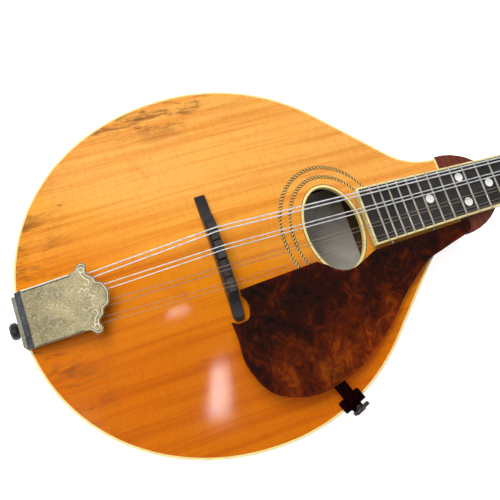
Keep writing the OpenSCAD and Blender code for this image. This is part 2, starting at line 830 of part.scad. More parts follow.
function tuner_x(i) = first_tuner + tuner_gap * (i % 4);
function tuner_sign(i) = i < 4 ? 1 : -1;
function tuner_pos(i) = [tuner_x(i), tuner_sign(i) * tuner_y];

module tuner_holes(r) {
    for (i = [0:7]) translate(concat(tuner_pos(i), -head_t - 1)) cylinder(h = head_t + 5, r = r);
}

module each_post(sign) {
    for (i = [0:7]) if (tuner_sign(i) == sign) translate(tuner_pos(i)) children();
}

plate_w = 21;
ear_y = [-6.4, 6.4];
ear_t = 1.6;

module tuner_plate(sign) {
    len = 3 * tuner_gap + 26;
    color(nickel) in_head() difference() {
        union() {
            translate([first_tuner - 9, sign * tuner_y - plate_w / 2, -head_t - plate_sheet])
                cube([len, plate_w, plate_sheet]);
            each_post(sign) for (y = ear_y)
                translate([mesh_gap - 3, y - ear_t / 2, key_z - 3])
                    cube([6, ear_t, -head_t - plate_sheet - key_z + 3.2]);
        }
        each_post(sign) {
            translate([0, 0, -head_t - 5]) cylinder(h = 8, r = post_r + 0.05);
            translate([mesh_gap, -20, key_z]) rotate([-90, 0, 0]) cylinder(h = 40, r = shaft_r + 0.05);
        }
        each_plate_screw(sign) translate([0, 0, -3]) cylinder(h = 6, r = 1.1, $fn = 24);
    }
}

module each_plate_screw(sign) {
    for (x = [first_tuner - 6, first_tuner + 1.5 * tuner_gap + 4.5, first_tuner + 3 * tuner_gap + 14])
        translate([x, sign * (tuner_y - 8), -head_t - plate_sheet]) children();
}

module bass_tuner_plate() {
    tuner_plate(1);
}

module treble_tuner_plate() {
    tuner_plate(-1);
}

module small_screws() {
    color(nickel) {
        in_head() for (s = [-1, 1]) each_plate_screw(s) {
            translate([0, 0, -1]) cylinder(h = 1, r = 1.9, $fn = 24);
            cylinder(h = 1, r = 1.05, $fn = 24);
        }
        in_body() each_tail_screw() {
            translate([0, 0, -sheet - 1]) cylinder(h = 1, r = 2.1, $fn = 24);
            translate([0, 0, -sheet]) cylinder(h = sheet, r = 1.15, $fn = 24);
        }
    }
}

module post_bushings() {
    color(nickel) in_head() for (i = [0:7]) translate(tuner_pos(i)) difference() {
        union() {
            cylinder(h = veneer_t, r = bushing_r - 0.02);
            translate([0, 0, veneer_t]) cylinder(h = 0.9, r = bushing_r + 0.7);
        }
        translate([0, 0, -1]) cylinder(h = 6, r = post_r + 0.05);
    }
}

// The worm: a core with one thread that wraps a third of its way round
module worm() {
    wide = [for (a = [-50, 0, 50]) worm_r * [cos(a), sin(a)]];
    narrow = [for (a = [90:45:270]) worm_core_r * [cos(a), sin(a)]];
    turns = worm_len / worm_pitch;
    linear_extrude(worm_len, twist = -360 * turns, slices = 30) polygon(concat(wide, narrow));
}

// A key: worm, shaft and button, along y through its post's row
module key(i) {
    s = tuner_sign(i);
    color(nickel) in_head() translate(concat(tuner_pos(i), 0)) translate([mesh_gap, 0, key_z])
        rotate([s > 0 ? -90 : 90, 0, 0]) {
            rotate([0, 0, worm_phase]) translate([0, 0, -worm_len / 2]) worm();
            translate([0, 0, -8]) cylinder(h = 31, r = shaft_r, $fn = 32);
            translate([0, 0, 20]) cylinder(h = 2, r = 2.4, $fn = 32);
            translate([0, 0, 29]) intersection() {
                cube([13, 4.6, 16], center = true);
                rotate([90, 0, 0]) cylinder(h = 5, r = 7.6, center = true, $fn = 48);
            }
        }
}

module gear_outline() {
    step = 360 / gear_teeth;
    polygon([for (n = [0:gear_teeth - 1]) for (k = [[-0.34, 0], [-0.2, 1], [0.2, 1], [0.34, 0]])
        (k[1] > 0 ? gear_r : gear_root_r) * [cos((n + 0.5 + k[0]) * step), sin((n + 0.5 + k[0]) * step)]]);
}

post_top = 15;
waist_z = 8.6;
waist_r = 2.3;

// A post: gear behind the head, shaft through it and a waisted top that takes the string
module post(i) {
    color(steel) in_head() translate(tuner_pos(i)) {
        translate([0, 0, key_z - gear_h / 2]) linear_extrude(gear_h) gear_outline();
        translate([0, 0, key_z - gear_h / 2 - 0.8]) cylinder(h = 1, r = 2.4, $fn = 32);
        difference() {
            rotate_extrude($fn = 48) polygon([
                [0, key_z], [post_r, key_z], [post_r, veneer_t + 3.4], [waist_r, veneer_t + 4.6],
                [waist_r, veneer_t + 9.2], [post_r, veneer_t + 10.4], [post_r, post_top - 0.6],
                [2.3, post_top], [0, post_top]
            ]);
            translate([-5, 0, veneer_t + 7.4]) rotate([0, 90, 0]) cylinder(h = 10, r = 0.7, $fn = 24);
        }
    }
}

// ---- Strings ----
coil_z = 8;
// Turns of each course's strings round their posts
wraps = [4, 5, 6, 7];

// Each string's post, counted from 0: bass posts first, each pair's outer string to the nearer post
function course_post(c, k) = c < 2
    ? (c == 0 ? (k > 0 ? 0 : 1) : (k > 0 ? 2 : 3))
    : (c == 3 ? (k < 0 ? 4 : 5) : (k < 0 ? 6 : 7));

function unit(v) = v / norm(v);

// A tube along a few points, with a mitred ring at each
module tube(path, r, sides = 12) {
    n = len(path);
    rings = [for (i = [0:n - 1])
        let (
            before = unit(path[max(i, 1)] - path[max(i, 1) - 1]),
            after = unit(path[min(i, n - 2) + 1] - path[min(i, n - 2)]),
            along = unit(before + after),
            across = unit(cross([0, 0, 1], along)),
            up = cross(along, across)
        )
        [for (j = [0:sides - 1])
            path[i] + r * (cos(360 * j / sides) * across + sin(360 * j / sides) * up)]];
    cells = [for (i = [0:n - 2]) for (j = [0:sides - 1])
        [i * sides + j, (i + 1) * sides + j, (i + 1) * sides + (j + 1) % sides, i * sides + (j + 1) % sides]];
    faces = concat(
        [[for (j = [0:sides - 1]) j], [for (j = [sides - 1:-1:0]) (n - 1) * sides + j]],
        [for (c = cells) [c[0], c[1], c[2]]],
        [for (c = cells) [c[0], c[2], c[3]]]
    );
    polyhedron([for (ring = rings) each ring], faces);
}

// One string: an eye on its hook, a run over the bridge and the nut to its post, and a sleeve for
// its wraps, which clears the post's waist
module string(c, k) {
    r = courses[c][2];
    i = course_post(c, k);
    eye_x = hook_x - 1;
    tail = [eye_x + 0.9 + r, string_y_tail(c, k), hook_z];
    crest = board_to_body(crest_point(c, k));
    nut_edge = board_to_body(nut_point(c, k) + [nut_t, 0, 0]);
    coil_r = waist_r + 0.12 + 1.15 * r;
    wraps_h = wraps[c] * 2 * r;
    post_in = board_to_body(head_to_board(
        [tuner_pos(i)[0], tuner_pos(i)[1] - tuner_sign(i) * coil_r, veneer_t + coil_z]));
    in_body() {
        tube([tail, crest, nut_edge, post_in], r);
        translate([eye_x, tail[1], hook_z - 1.2 * r]) difference() {
            cylinder(h = 2.4 * r, r = 0.9 + 2 * r, $fn = 32);
            translate([0, 0, -1]) cylinder(h = 4, r = 0.9, $fn = 32);
        }
    }
    in_head() translate(concat(tuner_pos(i), veneer_t + coil_z + 1.2 * r - wraps_h)) difference() {
        cylinder(h = wraps_h, r = coil_r + 1.15 * r, $fn = 32);
        translate([0, 0, -1]) cylinder(h = wraps_h + 2, r = waist_r + 0.12, $fn = 32);
    }
}

module course(c) {
    color(c < 2 ? steel : nickel) for (k = [-1, 1]) string(c, k);
}

module g_strings() {
    course(0);
}

module d_strings() {
    course(1);
}

module a_strings() {
    course(2);
}

module e_strings() {
    course(3);
}

top_plate();
back_plate();
bass_side();
treble_side();
linings();
neck_block();
tail_block();
cross_brace();
top_binding();
soundhole_binding();
rope_rings();
paper_label();
neck();
board_riser();
fingerboard();
board_binding();
frets();
position_dots();
nut();
head_veneer();
bridge_base();
bridge_saddles();
tailpiece_base();
tailpiece_cover();
end_pin();
pickguard();
guard_arm();
guard_pins();
clamp_jaw();
clamp_screw();
small_screws();
bass_tuner_plate();
treble_tuner_plate();
post_bushings();
g_strings();
d_strings();
a_strings();
e_strings();
for (i = [0:7]) {
    key(i);
    post(i);
}
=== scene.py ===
"""Looks of the mandolin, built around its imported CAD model. Lengths are in metres."""

import bmesh
import bpy
import json
import math
from mathutils import Matrix, Vector

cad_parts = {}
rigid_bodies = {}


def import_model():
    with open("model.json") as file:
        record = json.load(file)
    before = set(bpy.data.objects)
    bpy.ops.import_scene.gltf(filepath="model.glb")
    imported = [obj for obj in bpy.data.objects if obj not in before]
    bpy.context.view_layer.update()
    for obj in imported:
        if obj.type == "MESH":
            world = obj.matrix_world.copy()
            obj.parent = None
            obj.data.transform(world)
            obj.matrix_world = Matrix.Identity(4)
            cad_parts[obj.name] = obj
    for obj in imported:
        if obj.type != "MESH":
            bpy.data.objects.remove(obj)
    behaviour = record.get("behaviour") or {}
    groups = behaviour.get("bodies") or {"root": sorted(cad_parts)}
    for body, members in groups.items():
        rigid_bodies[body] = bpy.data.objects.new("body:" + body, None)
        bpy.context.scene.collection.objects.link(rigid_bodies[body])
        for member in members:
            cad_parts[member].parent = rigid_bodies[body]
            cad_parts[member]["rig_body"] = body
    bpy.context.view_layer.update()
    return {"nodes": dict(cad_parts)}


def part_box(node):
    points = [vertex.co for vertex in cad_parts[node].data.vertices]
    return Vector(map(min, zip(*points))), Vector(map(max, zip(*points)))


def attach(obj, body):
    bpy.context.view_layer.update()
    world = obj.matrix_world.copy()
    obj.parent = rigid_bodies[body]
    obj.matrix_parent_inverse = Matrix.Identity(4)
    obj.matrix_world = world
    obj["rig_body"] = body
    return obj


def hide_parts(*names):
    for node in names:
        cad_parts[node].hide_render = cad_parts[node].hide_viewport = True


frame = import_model()
MM = 0.001

# ---- The design frame: x from the bridge to the head, y to the bass side, z from the top's edge ----
TAIL_LEN, FRONT_LEN, BODY_W, SHOULDER_R, FLARE_R, NECK_HW = 136, 173, 249, 137, 46, 29.6
PLATE_T, SIDE_DEPTH, SIDE_T, BINDING_W, TOP_ARCH = 3.6, 45, 2.4, 1.6, 11
HOLE_X, HOLE_A, HOLE_B = 78.5, 22, 32.4
NECK_ANGLE, BOARD_RISE, BOARD_T, SCALE_LEN, NUT_T = 4.5, 20.9, 5, 352.4, 4.5
HEAD_PITCH, BOARD_W_END = 12, 41.6
TAIL_POWER = 2.08
# The arch: how far out it reaches as a share of the outline, and how full it is
ARCH_REACH, ARCH_POWER = 0.94, 0.85
# The pickguard's plane: its lean in degrees, the line it leans about, and its drop below the board
GUARD_LEAN, GUARD_HINGE_Y, GUARD_DROP = 3.4, -21, 3.4
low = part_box("top_plate")[0]
SHIFT = Vector((low.x / MM + TAIL_LEN - BINDING_W, 0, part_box("bass_side")[1].z / MM + PLATE_T))
BACK_ARCH = SHIFT.z - 2 * PLATE_T - SIDE_DEPTH


def body(x, y, z):
    """A point of the design frame, in the row frame."""
    return (Vector((x, y, z)) + SHIFT) * MM


def turned(x, z, degrees):
    a = math.radians(degrees)
    return x * math.cos(a) + z * math.sin(a), -x * math.sin(a) + z * math.cos(a)


def board(x, y, z):
    """A point of the fingerboard's frame."""
    bx, bz = turned(x, z, NECK_ANGLE)
    return body(bx, y, bz + BOARD_RISE)


def head(x, y, z):
    """A point of the head's frame."""
    hx, hz = turned(x, z, HEAD_PITCH)
    return board(hx + SCALE_LEN + NUT_T, y, hz - BOARD_T)


def guard_plane(x, y, z):
    """A point of the pickguard's frame, whose plane leans down from the strings."""
    a = math.radians(GUARD_LEAN)
    dy = y - GUARD_HINGE_Y
    return board(x, GUARD_HINGE_Y + dy * math.cos(a) - z * math.sin(a),
                 -GUARD_DROP + dy * math.sin(a) + z * math.cos(a))


LINE_SUM = SHOULDER_R * math.sin(math.pi / 4) + BODY_W / 2 - SHOULDER_R * (1 - math.cos(math.pi / 4))
FLARE_X = (LINE_SUM - NECK_HW - FLARE_R * (1 - math.cos(math.pi / 4)) + FLARE_R * math.sin(math.pi / 4))


def outline(d=0.0, end_x=FRONT_LEN):
    """The body's outline drawn inside the real one by d, from the tail round the bass side."""
    half = []
    n = 52
    for i in range(n + 1):
        a = math.pi / 2 * i / n
        half.append((-(TAIL_LEN - d) * abs(math.cos(a)) ** (2 / TAIL_POWER),
                     (BODY_W / 2 - d) * abs(math.sin(a)) ** (2 / TAIL_POWER)))
    n = 26
    for i in range(1, n + 1):
        a = math.pi / 4 * i / n
        half.append(((SHOULDER_R - d) * math.sin(a),
                     BODY_W / 2 - SHOULDER_R + (SHOULDER_R - d) * math.cos(a)))
    n = 12
    for i in range(n + 1):
        a = math.pi / 4 * (1 - i / n)
        half.append((FLARE_X - (FLARE_R + d) * math.sin(a),
                     NECK_HW + FLARE_R - (FLARE_R + d) * math.cos(a)))
    half.append((end_x, NECK_HW - d))
    return half[1:] + [(x, -y) for x, y in reversed(half)]


def half_width(x):
    """Half of the body's width at x."""
    if x < 0:
        return BODY_W / 2 * max(0, 1 - (-x / TAIL_LEN) ** TAIL_POWER) ** (1 / TAIL_POWER)
    if x < SHOULDER_R * math.sin(math.pi / 4):
        return BODY_W / 2 - SHOULDER_R + math.sqrt(SHOULDER_R ** 2 - x * x)
    if x < FLARE_X - FLARE_R * math.sin(math.pi / 4):
        return LINE_SUM - x
    if x < FLARE_X:
        return NECK_HW + FLARE_R - math.sqrt(FLARE_R ** 2 - (FLARE_X - x) ** 2)
    return NECK_HW


def profile(s):
    """The arch's height, 1 in the middle and 0 at the edge, at the share s of the way out."""
    return max(0, 0.5 + 0.5 * math.cos(math.pi * min(1, s / ARCH_REACH))) ** ARCH_POWER


def arch(x, y):
    return profile(-x / TAIL_LEN if x < 0 else x / FRONT_LEN) * profile(abs(y) / max(half_width(x), 0.01))


def top_z(x, y):
    return TOP_ARCH * arch(x, y)


# ---- Materials ----
class Paint:
    """One node material, with short ways to make the nodes that the pieces need."""

    def __init__(self, name, rough=0.5, metal=0.0, coat=0.0, coat_rough=0.1, spec=0.5):
        self.mat = bpy.data.materials.new(name)
        self.mat.use_nodes = True
        self.t = self.mat.node_tree
        self.bsdf = self.t.nodes["Principled BSDF"]
        for key, value in (("Roughness", rough), ("Metallic", metal), ("Coat Weight", coat),
                           ("Coat Roughness", coat_rough), ("Specular IOR Level", spec)):
            self.bsdf.inputs[key].default_value = value
        self.coord = self.node("ShaderNodeTexCoord").outputs["Object"]
        self.height = None

    def node(self, kind, **values):
        n = self.t.nodes.new(kind)
        for key, value in values.items():
            setattr(n, key, value)
        return n

    def link(self, a, b):
        self.t.links.new(a, b)

    def coords(self, scale=(1, 1, 1), rot=(0, 0, 0), loc=(0, 0, 0)):
        m = self.node("ShaderNodeMapping")
        m.inputs["Scale"].default_value = scale
        m.inputs["Rotation"].default_value = rot
        m.inputs["Location"].default_value = loc
        self.link(self.coord, m.inputs["Vector"])
        return m.outputs["Vector"]

    def noise(self, scale, vec=None, detail=3.0, rough=0.5, distortion=0.0):
        n = self.node("ShaderNodeTexNoise")
        for key, value in (("Scale", scale), ("Detail", detail), ("Roughness", rough),
                           ("Distortion", distortion)):
            n.inputs[key].default_value = value
        self.link(vec or self.coord, n.inputs["Vector"])
        return n.outputs["Fac"]

    def wave(self, scale, vec, distortion, detail, detail_scale, axis="Y"):
        n = self.node("ShaderNodeTexWave", wave_type="BANDS", bands_direction=axis, wave_profile="SIN")
        for key, value in (("Scale", scale), ("Distortion", distortion), ("Detail", detail),
                           ("Detail Scale", detail_scale)):
            n.inputs[key].default_value = value
        self.link(vec, n.inputs["Vector"])
        return n.outputs["Fac"]

    def ramp(self, fac, stops):
        n = self.node("ShaderNodeValToRGB")
        n.color_ramp.interpolation = "EASE"
        e = n.color_ramp.elements
        while len(e) < len(stops):
            e.new(0.5)
        for item, (at, colour) in zip(e, stops):
            item.position = at
            item.color = (*colour, 1)
        self.link(fac, n.inputs["Fac"])
        return n.outputs["Color"]

    def fade(self, fac, lo, hi, to_lo=0.0, to_hi=1.0):
        n = self.node("ShaderNodeMapRange", interpolation_type="SMOOTHSTEP")
        for key, value in (("From Min", lo), ("From Max", hi), ("To Min", to_lo), ("To Max", to_hi)):
            n.inputs[key].default_value = value
        self.link(fac, n.inputs["Value"])
        return n.outputs["Result"]

    def math(self, kind, a, b):
        n = self.node("ShaderNodeMath", operation=kind)
        for i, v in enumerate((a, b)):
            if isinstance(v, (int, float)):
                n.inputs[i].default_value = v
            else:
                self.link(v, n.inputs[i])
        return n.outputs["Value"]

    def mix(self, fac, a, b, blend="MIX"):
        n = self.node("ShaderNodeMix", data_type="RGBA", blend_type=blend)
        for socket, v in (("Factor", fac), ("A", a), ("B", b)):
            i = [s for s in n.inputs if s.name == socket and s.enabled][0]
            if isinstance(v, (int, float)):
                i.default_value = v
            elif isinstance(v, tuple):
                i.default_value = (*v, 1)
            else:
                self.link(v, i)
        return [o for o in n.outputs if o.enabled][0]

    def axis(self, name, vec=None):
        n = self.node("ShaderNodeSeparateXYZ")
        self.link(vec or self.coord, n.inputs["Vector"])
        return n.outputs[name]

    def bump(self, height, strength=0.3, distance=0.0002):
        n = self.node("ShaderNodeBump")
        n.inputs["Strength"].default_value = strength
        n.inputs["Distance"].default_value = distance
        self.link(height, n.inputs["Height"])
        if self.height:
            self.link(self.height, n.inputs["Normal"])
        self.height = n.outputs["Normal"]
        self.link(self.height, self.bsdf.inputs["Normal"])

    def colour(self, c):
        self.link(c, self.bsdf.inputs["Base Color"])

    def roughness(self, fac, lo, hi):
        self.link(self.fade(fac, 0.25, 0.75, lo, hi), self.bsdf.inputs["Roughness"])


def spruce(name, varnished=True):
    """Straight-grained spruce: growth lines along x, and painted shade that darkens the colour towards the
    treble side and the tail.
    """
    p = Paint(name, 0.36 if varnished else 0.75, coat=0.22 if varnished else 0.0, coat_rough=0.09, spec=0.05)
    lines = p.wave(215, p.coords((4, 1, 1)), 2.2, 2.5, 2.2)
    fibre = p.noise(1, p.coords((26, 2600, 40)), 4, 0.6)
    streak = p.noise(1, p.coords((5, 230, 5)), 5, 0.68)
    broad = p.noise(9, None, 3, 0.5, 0.6)
    # Painted shade, in the varnished and the bare spruce alike: the colour darkens towards the treble side
    # and the tail
    side = p.math("ADD", p.axis("Y"), p.math("MULTIPLY", p.axis("X"), 0.35))
    lean = p.math("ADD", p.fade(side, -0.15, 0.02), p.math("MULTIPLY", p.math("SUBTRACT", broad, 0.5), 0.4))
    if varnished:
        base = p.ramp(lean, [(0.0, (0.66, 0.165, 0.001)), (0.4, (0.80, 0.260, 0.004)),
                             (0.75, (0.90, 0.390, 0.050)), (1.0, (0.94, 0.450, 0.100))])
    else:
        base = p.ramp(lean, [(0.0, (0.42, 0.25, 0.11)), (1.0, (0.55, 0.36, 0.18))])
    c = p.mix(p.fade(lines, 0.45, 1.0, 0, 0.42), base, p.mix(1.0, base, (0.70, 0.48, 0.30), "MULTIPLY"))
    c = p.mix(p.fade(fibre, 0.44, 0.70, 0, 0.30), c, p.mix(1.0, c, (0.76, 0.58, 0.42), "MULTIPLY"))
    c = p.mix(p.fade(streak, 0.42, 0.66, 0, 0.75), c, p.mix(1.0, c, (0.80, 0.60, 0.40), "MULTIPLY"))
    ripple = p.noise(1, p.coords((420, 90, 1)), 3, 0.6)
    c = p.mix(p.fade(ripple, 0.42, 0.70, 0, 0.35), c, p.mix(1.0, c, (0.88, 0.72, 0.55), "MULTIPLY"))
    if varnished:
        # Dull patches at the tail and the bass rim, darker blots, and small dents
        grime = p.noise(60, p.coords((0.4, 1.5, 1)), 5, 0.75, 0.3)
        tail = p.fade(p.axis("X"), -0.250, -0.302)
        rim = p.math("MULTIPLY", p.fade(p.axis("Y"), 0.084, 0.118), p.fade(p.axis("X"), -0.10, -0.17))
        worn = p.math("MULTIPLY", p.math("MAXIMUM", tail, rim), p.fade(grime, 0.47, 0.64))
        c = p.mix(p.math("MULTIPLY", worn, 0.8), c, (0.13, 0.045, 0.014))
        blot = p.fade(p.noise(24, None, 4, 0.6, 1.5), 0.60, 0.76, 0, 0.35)
        c = p.mix(blot, c, (0.52, 0.12, 0.006))
        nick = p.fade(p.noise(170, p.coords((0.35, 1, 1), (0, 0, 0.5)), 2, 0.5), 0.74, 0.79)
        c = p.mix(p.math("MULTIPLY", nick, 0.55), c, (0.20, 0.045, 0.010))
        p.bump(nick, -0.3, 0.0002)
        p.bump(p.noise(60, None, 2), 0.25, 0.0006)
    p.bump(lines, 0.12, 0.00008)
    p.bump(fibre, 0.12, 0.00005)
    p.roughness(broad, 0.30 if varnished else 0.7, 0.42 if varnished else 0.85)
    p.colour(c)
    return p.mat


def figured(name, dark, light, flame, scale, rough=0.3, coat=0.4, spec=0.5):
    """A dark stained hardwood with pores along x and a flame across it."""
    p = Paint(name, rough, coat=coat, coat_rough=0.12, spec=spec)
    cloud = p.noise(scale * 0.6, p.coords((1, 0.35, 0.35)), 4, 0.55, 1.2)
    stripes = p.wave(scale, p.coords(), 6, 3, 1.6, "X")
    bands = p.math("ADD", p.math("MULTIPLY", stripes, 0.4), p.math("MULTIPLY", cloud, 0.6))
    pores = p.noise(1, p.coords((90, 1900, 1900)), 4, 0.6)
    broad = p.noise(14, None, 3, 0.5, 0.5)
    c = p.mix(p.math("MULTIPLY", bands, flame), dark, light)
    c = p.mix(p.fade(broad, 0.35, 0.7, 0, 0.4), c, p.mix(1.0, c, (0.6, 0.5, 0.45), "MULTIPLY"))
    c = p.mix(p.fade(pores, 0.52, 0.7, 0, 0.5), c, p.mix(1.0, c, (0.42, 0.34, 0.3), "MULTIPLY"))
    p.colour(c)
    p.bump(pores, 0.2, 0.00008)
    p.roughness(broad, rough, rough + 0.12)
    return p.mat


def celluloid(name, base, deep, rough=0.28):
    """Aged ivory celluloid: faint lengthwise grain, yellowed and worn here and there."""
    p = Paint(name, rough, coat=0.3, coat_rough=0.15)
    p.bsdf.inputs["Subsurface Weight"].default_value = 0.08
    p.bsdf.inputs["Subsurface Radius"].default_value = (0.002, 0.0014, 0.0007)
    stain = p.noise(70, None, 4, 0.6, 0.6)
    fine = p.noise(900, None, 3, 0.6)
    c = p.mix(p.fade(stain, 0.4, 0.72, 0, 0.75), base, deep)
    c = p.mix(p.fade(fine, 0.55, 0.75, 0, 0.3), c, p.mix(1.0, c, (0.72, 0.62, 0.45), "MULTIPLY"))
    p.colour(c)
    p.bump(fine, 0.12, 0.00005)
    p.roughness(stain, rough, rough + 0.18)
    return p.mat


def metal(name, base, tarnish, rough=0.3, swirl=0.4, metallic=0.9, spots=0.3):
    """Plated metal with fine swirling scratches, a cloudy tarnish and small dark specks."""
    p = Paint(name, rough, metal=metallic)
    cloud = p.noise(60, None, 4, 0.6, 0.8)
    scratch = p.noise(120, None, 3, 0.6, 5.0)
    thin = p.fade(p.math("ABSOLUTE", p.math("SUBTRACT", scratch, 0.5), 0), 0.0, 0.045, 1, 0)
    speck = p.fade(p.noise(650, None, 3, 0.7), 0.66, 0.74)
    c = p.mix(p.fade(cloud, 0.35, 0.7), base, tarnish)
    c = p.mix(p.math("MULTIPLY", thin, swirl), c, p.mix(0.45, c, (0.95, 0.92, 0.80)))
    c = p.mix(p.math("MULTIPLY", speck, spots), c, (0.05, 0.045, 0.04))
    p.colour(c)
    p.bump(thin, 0.12, 0.00004)
    p.bump(cloud, 0.08, 0.0002)
    p.roughness(cloud, rough, rough + 0.16)
    return p.mat


def ebony(name, rough=0.42, shade=0.016, dust=0.25):
    """Near-black wood with fine pores and a little dust in them."""
    p = Paint(name, rough, coat=0.12, coat_rough=0.25)
    pores = p.noise(1, p.coords((120, 2300, 2300)), 4, 0.65)
    haze = p.noise(45, None, 4, 0.6, 0.4)
    c = p.mix(p.fade(haze, 0.35, 0.75), (shade, shade * 0.9, shade * 0.9),
              (shade * 2.4, shade * 2.0, shade * 1.9))
    c = p.mix(p.fade(pores, 0.58, 0.74, 0, dust), c, (0.16, 0.13, 0.12))
    p.colour(c)
    p.bump(pores, 0.25, 0.00008)
    p.roughness(haze, rough, rough + 0.16)
    return p.mat


def tortoise(name):
    """Mottled celluloid: dark brown clouds over amber that lets some light through."""
    p = Paint(name, 0.16, coat=0.22, coat_rough=0.07, spec=0.25)
    cloud = p.noise(17, None, 7, 0.62, 1.6)
    swirl = p.noise(85, p.coords(loc=(3, 1, 0)), 8, 0.72, 2.2)
    lean = p.math("ADD", p.fade(p.axis("Y"), -0.02, -0.10, 0, 0.15),
                  p.fade(p.axis("X"), -0.2, -0.08, 0, 0.07))
    mottle = p.math("ADD", p.math("MULTIPLY", cloud, 0.52), p.math("MULTIPLY", swirl, 0.48))
    tone = p.math("ADD", mottle, lean)
    c = p.ramp(tone, [(0.46, (0.003, 0.001, 0.001)), (0.56, (0.030, 0.004, 0.001)),
                      (0.65, (0.13, 0.018, 0.001)), (0.74, (0.33, 0.072, 0.003)),
                      (0.88, (0.60, 0.20, 0.010))])
    p.colour(c)
    p.bump(p.noise(26, None, 2), 0.2, 0.0006)
    p.bump(p.noise(500, None, 2), 0.03, 0.0001)
    see = p.node("ShaderNodeBsdfTransparent")
    tint = p.ramp(tone, [(0.46, (0.12, 0.02, 0.005)), (0.60, (0.62, 0.18, 0.02)),
                         (0.78, (0.97, 0.48, 0.08))])
    p.link(tint, see.inputs["Color"])
    blend = p.node("ShaderNodeMixShader")
    p.link(p.fade(tone, 0.44, 0.74, 0.26, 0.55), blend.inputs["Fac"])
    p.link(p.bsdf.outputs["BSDF"], blend.inputs[1])
    p.link(see.outputs["BSDF"], blend.inputs[2])
    out = [n for n in p.t.nodes if n.type == "OUTPUT_MATERIAL"][0]
    p.link(blend.outputs["Shader"], out.inputs["Surface"])
    return p.mat


def string_metal(name, base, rough=0.45, metallic=0.85):
    """String wire, dulled here and there."""
    p = Paint(name, rough, metal=metallic)
    dull = p.noise(1, p.coords((260, 40, 40)), 3, 0.6)
    p.colour(p.mix(p.fade(dull, 0.4, 0.7), base, tuple(v * 0.72 for v in base)))
    p.bump(p.noise(2500, None, 2), 0.05, 0.00002)
    p.roughness(dull, rough, rough + 0.12)
    return p.mat


def paper():
    """Aged paper, stained in clouds, with fine fibres."""
    p = Paint("aged_paper", 0.9, spec=0.2)
    stain = p.noise(30, None, 5, 0.65, 0.7)
    fibre = p.noise(1500, None, 3, 0.7)
    c = p.mix(p.fade(stain, 0.35, 0.7), (0.72, 0.68, 0.60), (0.52, 0.47, 0.39))
    c = p.mix(p.fade(fibre, 0.5, 0.72, 0, 0.35), c, (0.22, 0.19, 0.14))
    p.colour(c)
    p.bump(fibre, 0.3, 0.00006)
    return p.mat


def rope_pattern():
    """Slanted cream and black strands between two thin lines, laid out on the strip's own map."""
    p = Paint("rope_inlay", 0.34, coat=0.35, coat_rough=0.16)
    uv = p.node("ShaderNodeUVMap", uv_map="strip").outputs["UV"]
    u, v = p.axis("X", uv), p.axis("Y", uv)
    slant = p.math("ADD", u, p.math("MULTIPLY", p.math("SUBTRACT", v, 0.5), 1.1))
    strand = p.fade(p.math("PINGPONG", slant, 0.5), 0.19, 0.25)
    inner = p.math("ABSOLUTE", p.math("SUBTRACT", v, 0.5), 0)
    wear = p.noise(300, None, 3, 0.6)
    cream = p.mix(p.fade(wear, 0.4, 0.7), (0.86, 0.60, 0.17), (0.66, 0.40, 0.09))
    dark = p.mix(p.fade(wear, 0.4, 0.7), (0.012, 0.008, 0.004), (0.045, 0.020, 0.008))
    c = p.mix(strand, cream, dark)
    c = p.mix(p.fade(inner, 0.27, 0.31), c, (0.66, 0.30, 0.07))
    c = p.mix(p.fade(inner, 0.39, 0.43), c, dark)
    p.colour(c)
    p.bump(strand, 0.1, 0.00005)
    return p.mat


def plain_stage(name, colour, glow):
    """A pale floor that gives off a little light of its own, so that its shadows stay faint."""
    p = Paint(name, 0.9, spec=0.1)
    tone = p.noise(3, None, 2)
    p.colour(p.mix(p.fade(tone, 0.3, 0.7, 0, 0.15), colour, tuple(c * 0.97 for c in colour)))
    p.bsdf.inputs["Emission Color"].default_value = (*colour, 1)
    p.bsdf.inputs["Emission Strength"].default_value = glow
    return p.mat


